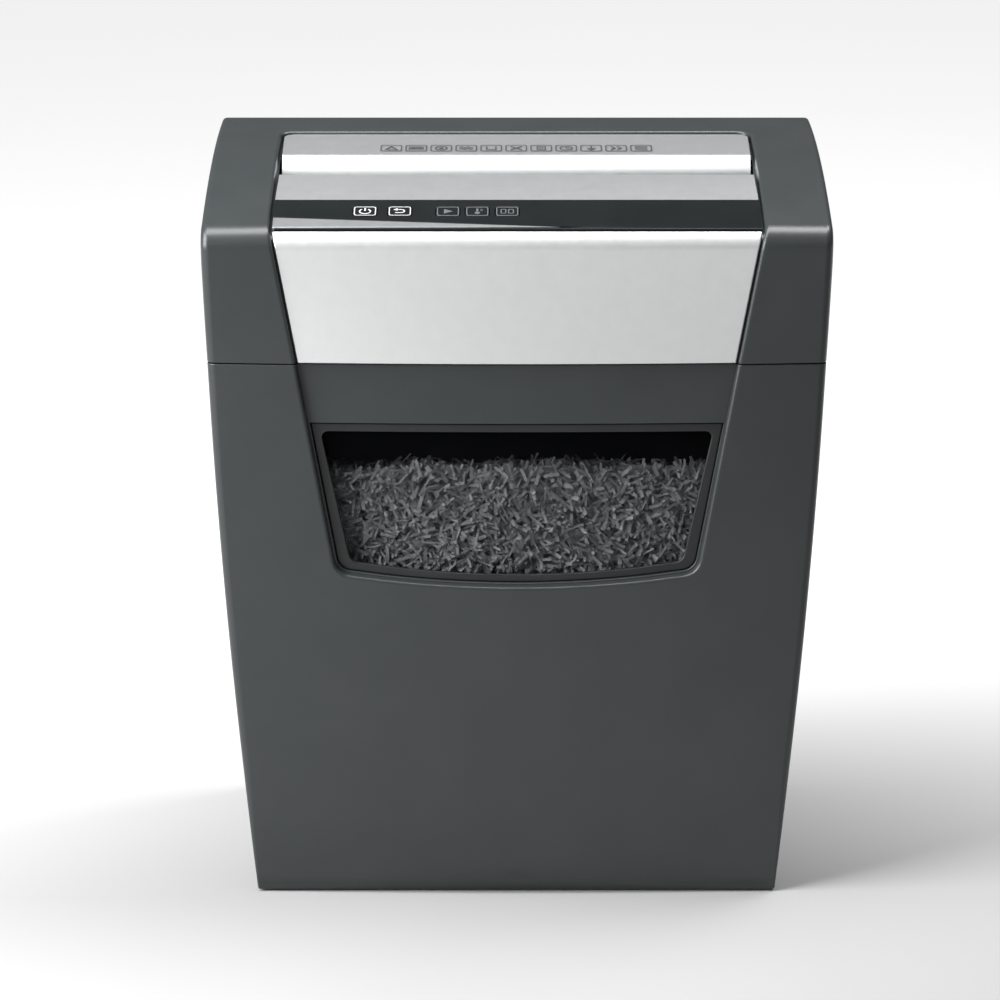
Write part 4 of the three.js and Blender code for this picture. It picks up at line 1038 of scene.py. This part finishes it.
def key_stem(x):
    """The round stem under a key, square to the sloped strip."""
    slope = math.atan((CROWN_APEX_Y - KEY_Y) / CROWN_R)
    down = np.array([0, math.sin(slope), -math.cos(slope)])
    cosines, sines = arc((0, 0), STEM_R, 0, 337.5, 22.5).T
    ring = np.c_[sines, -math.cos(slope) * cosines, -math.sin(slope) * cosines]
    top = np.array([x, KEY_Y + STEM_BEHIND, crown_z(KEY_Y) - STEM_BELOW])
    points = np.vstack([top + down * length + ring for length in STEM_LENGTHS])
    rings = np.arange(len(points)).reshape(len(STEM_LENGTHS), -1).tolist()
    return points, [*bands(rings), rings[0], rings[-1]]


def make_pads(key_u):
    """Keys and lamps: flat pads in the strip's windows, each with its framed symbol."""
    for node in PAD_NODES:
        is_key = node.endswith("key")
        x = pad_x(node)
        depth = TRIM_RECESS + (0.1 if is_key else 0.25)
        shells = [slab(HEAD, pad(x, key_u, 0), depth, PAD_BACK, edge=0.35)]
        if is_key:
            shells.append(key_stem(x))
        body = node if is_key else "head"
        make(node + "_pad", shells, body, "gloss_panel", [node])
        drawn = Symbols(HEAD, depth, (x, key_u))
        drawn.frame(PAD_SIZE[0] - 0.7, PAD_SIZE[1] - 0.5, PAD_R - 0.2, 0.6)
        SYMBOLS[node](drawn)
        make(node + "_symbol", drawn.shells, body, "gloss_panel", material=WHITE_INK if is_key else DIM_INK)


def draw_power(drawn):
    drawn.stroke(arc((0, -0.3), 3.0, 125, 415, 12), 0.8)
    drawn.stroke([(0, 0.2), (0, 3.9)], 0.9)


def draw_reverse(drawn):
    """An arrow that turns back on itself."""
    drawn.stroke([(-2.6, -2.0), *arc((0.6, 0), 2.0, -90, 90, 15), (-1.2, 2.0)], 0.8)
    drawn.mark([(-3.6, 2.0), (-1.2, 0.4), (-1.2, 3.6)])


def draw_ready(drawn):
    drawn.mark([(-2.2, -2.8), (2.8, 0), (-2.2, 2.8)])


def draw_cooling(drawn):
    """A thermometer."""
    drawn.dot(1.5, -1.9)
    drawn.stroke([(0, -1.5), (0, 3.4)], 1.2)
    for level in (2.6, 0.9):
        drawn.stroke([(1.6, level), (3.0, level)], 0.6)


def draw_overload(drawn):
    """Two sheets side by side."""
    for x in (-2.1, 2.1):
        drawn.frame(3.2, 5.6, 0.8, 0.6, x)


SYMBOLS = dict(zip(PAD_NODES, (draw_power, draw_reverse, draw_ready, draw_cooling, draw_overload)))


# ---- Chutes ----
FUNNEL_Z = 390
FRONT_LIP_Y = -22
REAR_LIP_Y = 11
FRONT_LIP_R = 2.4
REAR_LIP_R = 1.3
CHUTE_T = 1.6
CHUTE_STEP = 9
GUIDE_HALF = SLOT_HALF + 4


def trim_z(y):
    return crown_z(y) - TRIM_RECESS


def bent(points):
    """A side view whose inner corners (y, z, radius) are true arcs."""
    ring = rounded([*points, (points[-1][0], -500, 0), (points[0][0], -500, 0)], 12)
    return ring[:-2]


def divided(side):
    """The same line with long stretches cut shorter."""
    rows = [side[:1]]
    for a, b in zip(side[:-1], side[1:]):
        count = max(1, math.ceil(np.hypot(*(b - a)) / CHUTE_STEP))
        rows.append(a + (b - a) * (np.arange(1, count + 1) / count)[:, None])
    return np.vstack(rows)


def chute_outline(sheet, guide_u, far_u, far_r, lip_first):
    """Full width over the lip, and only the slot's width down in the guide."""
    steps = [(TRIM_HALF, far_u, far_r), (TRIM_HALF - 1.0, guide_u, 0), (GUIDE_HALF, guide_u, 0)]
    end_u = sheet.u[-1] if lip_first else 0
    right = [*steps, (GUIDE_HALF, end_u, 0)]
    return rounded([*right, *[(-x, u, r) for x, u, r in right[::-1]]])


def make_front_chute():
    top = [(y, trim_z(y), 0) for y in spread(CHUTE_FRONT_Y, FRONT_LIP_Y, CHUTE_STEP)[:-1]]
    lip = (FRONT_LIP_Y, trim_z(FRONT_LIP_Y), FRONT_LIP_R)
    sheet = Sheet(divided(bent([*top, lip, (SLOT_FRONT_Y, FUNNEL_Z, 3), (SLOT_FRONT_Y, SLOT_LOW_Z, 0)])))
    guide_u = np.interp(-FUNNEL_Z - 0.5, -sheet.side[:, 1], sheet.u)
    outline = chute_outline(sheet, guide_u, 0, 0.6, True)[::-1]
    shell = slab(sheet, outline, 0, CHUTE_T, edge=0.5)
    make("feed_chute_front", [shell], "head", "silver_trim", ["front_chute"])


def make_rear_chute():
    """The rear plate, with the slot's closed ends; returns its sheet."""
    lip_z = trim_z(REAR_LIP_Y)
    funnel, pull = np.array([SLOT_REAR_Y, FUNNEL_Z]), np.array([SLOT_REAR_Y + 1.4, FUNNEL_Z + 9])
    under_lip = np.array([REAR_LIP_Y - 1.0, lip_z - 1.8])
    shares = np.linspace(0, 1, 9)[:-1]
    curve = [(1 - s) ** 2 * funnel + 2 * s * (1 - s) * pull + s * s * under_lip for s in shares]
    wall = [(SLOT_REAR_Y, SLOT_LOW_Z, 0), *[(y, z, 0) for y, z in curve]]
    top = [(y, trim_z(y), 0) for y in spread(REAR_LIP_Y, CHUTE_REAR_Y, CHUTE_STEP)[1:]]
    sheet = Sheet(divided(bent([*wall, (REAR_LIP_Y, lip_z, REAR_LIP_R), *top])))
    guide_u = np.interp(FUNNEL_Z + 0.5, sheet.side[:, 1], sheet.u)
    outline = chute_outline(sheet, guide_u, sheet.u[-1], DECK_R - 1.2, False)
    shells = [slab(sheet, outline, 0, CHUTE_T, edge=0.5)]
    slot_y = (SLOT_FRONT_Y + GAP, SLOT_REAR_Y + 1)
    for side_sign in (-1, 1):
        end_x = sorted((side_sign * SLOT_HALF, side_sign * (SLOT_HALF + 3.5)))
        floor_x = sorted((side_sign * SLOT_HALF, side_sign * (TRIM_HALF - 0.8)))
        shells.append(block((end_x[0], slot_y[0], SLOT_LOW_Z), (end_x[1], slot_y[1], FUNNEL_Z + 1.9)))
        shells.append(block((floor_x[0], slot_y[0], FUNNEL_Z + 0.6), (floor_x[1], slot_y[1], FUNNEL_Z + 2.6)))
    # The rear chute wears the silver with painted shade down in the slot
    make("feed_chute_rear", shells, "head", "silver_trim", ["rear_chute"], THROAT_SHADED_SILVER)
    return sheet


# Eleven small framed pictures along the rear chute, each of plain shapes
PICTURE_PITCH = 14.3
PICTURE_SIZE = 12.5
PICTURE_Y = 23.5
PICTURE_LINE = 0.8


def draw_pictures(sheet):
    after_lip = sheet.side[:, 0] > REAR_LIP_Y
    u = np.interp(PICTURE_Y, sheet.side[after_lip, 0], sheet.u[after_lip])
    drawn = Symbols(sheet, 0, (0, u))

    def triangle():
        drawn.stroke([(-3.4, -2.9), (0, 3.4), (3.4, -2.9), (-2.4, -2.9)], 0.9)

    def card():
        drawn.frame(8.6, 5.6, 0.9, PICTURE_LINE)
        drawn.bar(3.2, 0.7, 1.3)

    def disc():
        drawn.ring(3.8, 0.9)
        drawn.dot(1.3)

    def ripple():
        xs = np.linspace(-3.8, 3.8, 17)
        for rise in (-1.7, 1.7):
            drawn.stroke(np.c_[xs, rise + 0.9 * np.sin(xs * 1.7)], 0.8)

    def clip():
        drawn.stroke([(-2.6, 2.8), (-2.6, -2.6), (2.6, -2.6), (2.6, 2.8)], 1.0)

    def cross():
        drawn.stroke([(-3.2, -3.2), (3.2, 3.2)], 1.0)
        drawn.stroke([(3.2, -3.2), (0.6, -0.6)], 1.0)
        drawn.stroke([(-0.6, 0.6), (-3.2, 3.2)], 1.0)

    def sheet_of_paper():
        drawn.frame(5.4, 7.4, 0.9, PICTURE_LINE)
        for rise in (1.4, -0.6):
            drawn.bar(1.4, rise, 0.7)

    def clock():
        drawn.ring(3.9, 0.8)
        drawn.stroke([(0, 2.4), (0, 0), (1.9, 0)], 0.8)

    def arrow_down():
        drawn.stroke([(0, 3.9), (0, 0)], 1.1)
        drawn.mark([(-2.8, 0), (0, -3.9), (2.8, 0)])

    def chevrons():
        for shift in (-1.8, 1.8):
            drawn.stroke([(shift - 1.2, -3.0), (shift + 1.2, 0), (shift - 1.2, 3.0)], 0.9)

    def stack():
        for rise in (-2.6, 0, 2.6):
            drawn.bar(3.6, rise, 0.9)

    pictures = (triangle, card, disc, ripple, clip, cross, sheet_of_paper, clock, arrow_down, chevrons, stack)
    for i, picture in enumerate(pictures):
        drawn.centre = ((i - (len(pictures) - 1) / 2) * PICTURE_PITCH, u)
        drawn.frame(PICTURE_SIZE, PICTURE_SIZE, 1.8, PICTURE_LINE)
        picture()
    make("picture_row", drawn.shells, "head", "silver_trim", material=GREY_INK)


# ---- Shreds ----
SHRED_WIDTH = (1.0, 2.1)
SHRED_LENGTH = (6, 12)
SHRED_T = 0.12
HEAP_TOP_Z = box_mm("paper_heap")[1][2]
PANE_BACK = WINDOW_RECESS + BIN_WALL
HEAP_CREST_Y = -74
HEAP_FALL = 0.33
CORE_TOP_Z = HEAP_TOP_Z - 10
CORE_MIDDLE_Z = (90, 180)
CORNERS = 4  # of a strip's cross-section
SEED = 7


def ribbons(rng, centres, facing, tilt):
    """Curled paper strips at some centres; facing is their mean normal, tilt how far they stray."""
    count, stations = len(centres), np.linspace(-1, 1, 4)
    normal = unit(facing + tilt * rng.normal(size=(count, 3)))
    along = unit(np.cross(normal, rng.normal(size=(count, 3))))
    across = np.cross(normal, along)
    half = rng.uniform(*SHRED_LENGTH, (count, 1)) / 2
    width = rng.uniform(*SHRED_WIDTH, (count, 1)) / 2
    curl = rng.normal(0, 0.022, (count, 1))
    twist = rng.normal(0, 0.35, (count, 1))
    rings = []
    for s in stations:
        at = centres + along * half * s + normal * curl * (half * s) ** 2
        side = across * np.cos(twist * s) + normal * np.sin(twist * s)
        up = np.cross(along, side) * SHRED_T / 2
        side = side * width
        rings.append(np.stack([at + side + up, at - side + up, at - side - up, at + side - up], axis=1))
    points = np.stack(rings, axis=1).reshape(-1, 3)
    per = len(stations) * CORNERS
    number = np.arange(per).reshape(-1, CORNERS)
    walls = [(low, high, far_high, far_low) for low, far_low, far_high, high in bands(number.tolist())]
    one = np.array([number[0].tolist(), number[-1, ::-1].tolist(), *walls])
    faces = (one[None] + per * np.arange(count)[:, None, None]).reshape(-1, CORNERS)
    return points, faces.tolist()


def pane_y(x, z, depth):
    return front_y(z) + bow(z) * (x / half_width(z)) ** 2 + depth


def heap_top(x, y, phase):
    """Height of the heap under its loose shreds: bumpy, and falling away behind the window."""
    level = CORE_TOP_Z - HEAP_FALL * np.maximum(0, y - HEAP_CREST_Y)
    humps = 2.2 * np.sin(x / 21 + phase[0]) * np.cos(y / 17 + phase[1])
    return level + humps + 1.4 * np.sin(x / 9 + y / 13)


def heap_core(phase):
    """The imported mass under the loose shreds: a bumpy block inside the bin's walls."""
    share_x, share_y = np.meshgrid(np.linspace(-1, 1, 70), np.linspace(0, 1, 40), indexing="ij")
    layers = []
    for z in (BIN_LOW_Z + BIN_WALL + 1, *CORE_MIDDLE_Z, CORE_TOP_Z):
        x = share_x * (half_width(z) - BIN_WALL - 3)
        front = pane_y(x, z, PANE_BACK + 12)
        y = front + (rear_y(z) - BIN_WALL - 2 - front) * share_y
        level = heap_top(x, y, phase) if z == CORE_TOP_Z else np.full_like(x, z)
        layers.append(np.c_[x.ravel(), y.ravel(), level.ravel()])

    number = np.arange(share_x.size).reshape(share_x.shape)
    border = np.concatenate([number[:, 0], number[-1, 1:], number[-2::-1, -1], number[0, -2:0:-1]])
    bottom, *middles, top = layers
    points = np.vstack([top, bottom, *(layer[border] for layer in middles)])
    here, right = number[:-1, :-1].ravel(), number[1:, :-1].ravel()
    cells = np.c_[here, right, right + 1, here + 1]
    around = len(top) * 2 + np.arange(len(middles) * len(border)).reshape(len(middles), -1)
    rings = [(border + len(top)).tolist(), *around.tolist(), border.tolist()]
    return points, cells.tolist() + (cells[:, ::-1] + len(top)).tolist() + bands(rings)


def make_shreds():
    """A packed core, with loose shreds behind the pane and on top."""
    rng = np.random.default_rng(SEED)
    phase = rng.uniform(0, 6, 2)
    front_count, top_count = 8500, 4000

    x = rng.uniform(-120, 120, front_count)
    z = rng.uniform(188, HEAP_TOP_Z - 9.5, front_count)
    z += np.where(z > HEAP_TOP_Z - 18, 1.2 * np.sin(x / 11) + rng.normal(0, 0.9, front_count), 0)
    y = pane_y(x, z, PANE_BACK + 1) + 3 + rng.uniform(0, 13, front_count)
    behind_pane = ribbons(rng, np.c_[x, y, z], np.array([0, -1.0, 0.3]), 0.5)

    x = rng.uniform(-150, 150, top_count)
    y = rng.uniform(-72, 88, top_count)
    z = heap_top(x, y, phase) + rng.uniform(0, 4.5, top_count)
    on_top = ribbons(rng, np.c_[x, y, z], np.array([0, 0, 1.0]), 0.3)

    shells = [heap_core(phase), behind_pane, on_top]
    make("shredded_paper", shells, "bin", "shreds", ["paper_heap"])


# ---- Floor and light ----
FLOOR_REACH = 9.0  # metres


def make_floor():
    """A pale floor that reaches far around the object; its glow is painted light that lightens the shadow
    beside the object and whitens the far floor.
    """
    mesh = bpy.data.meshes.new("floor")
    corners = [(x * FLOOR_REACH, y * FLOOR_REACH, 0) for x, y in ((-1, -1), (1, -1), (1, 1), (-1, 1))]
    mesh.from_pydata(corners, [], [(0, 1, 2, 3)])
    floor = bpy.data.objects.new("floor", mesh)
    made = Finish("pale_floor", Specular_IOR_Level=0.1)
    made.color(made.noise(400, 2), (0.37, 0.37, 0.37), (0.39, 0.39, 0.39))
    made.roughness(made.noise(60, 2), 0.8, 0.9)
    # Painted light: the floor glows from the object's front line backwards, and far around it
    made.glow((-0.1, 0.6, 0, 0.8), (1.4, 2.6, 0, 0.45))
    mesh.materials.append(made.material)
    bpy.context.scene.collection.objects.link(floor)


def soft_light(name, place, aim, size, watts, roll=0.0):
    data = bpy.data.lights.new(name, "AREA")
    data.shape = "RECTANGLE"
    data.size, data.size_y = size
    data.energy = watts
    light = bpy.data.objects.new(name, data)
    light.location = place
    facing = (Vector(aim) - Vector(place)).to_track_quat("-Z", "Y")
    light.rotation_euler = (facing @ Quaternion((0, 0, 1), math.radians(roll))).to_euler()
    bpy.context.scene.collection.objects.link(light)


def make_light():
    world = bpy.data.worlds.new("studio")
    world.use_nodes = True
    sky = world.node_tree.nodes["Background"]
    sky.inputs["Color"].default_value = (1, 1, 1, 1)
    sky.inputs["Strength"].default_value = 0.1
    bpy.context.scene.world = world
    soft_light("key", place=(-0.87, -0.48, 0.73), aim=(0, 0, 0.25), size=(0.7, 0.9), watts=25)
    soft_light("top", place=(0.07, 0, 1.9), aim=(0.01, 0, 0.4), size=(2.6, 0.7), watts=62, roll=-62)
    bpy.context.scene.view_settings.view_transform = "Standard"


make_bin()
make_window()
make_head()
make_fascia()
make_pads(make_strip())
make_front_chute()
draw_pictures(make_rear_chute())
make_shreds()
make_floor()
make_light()
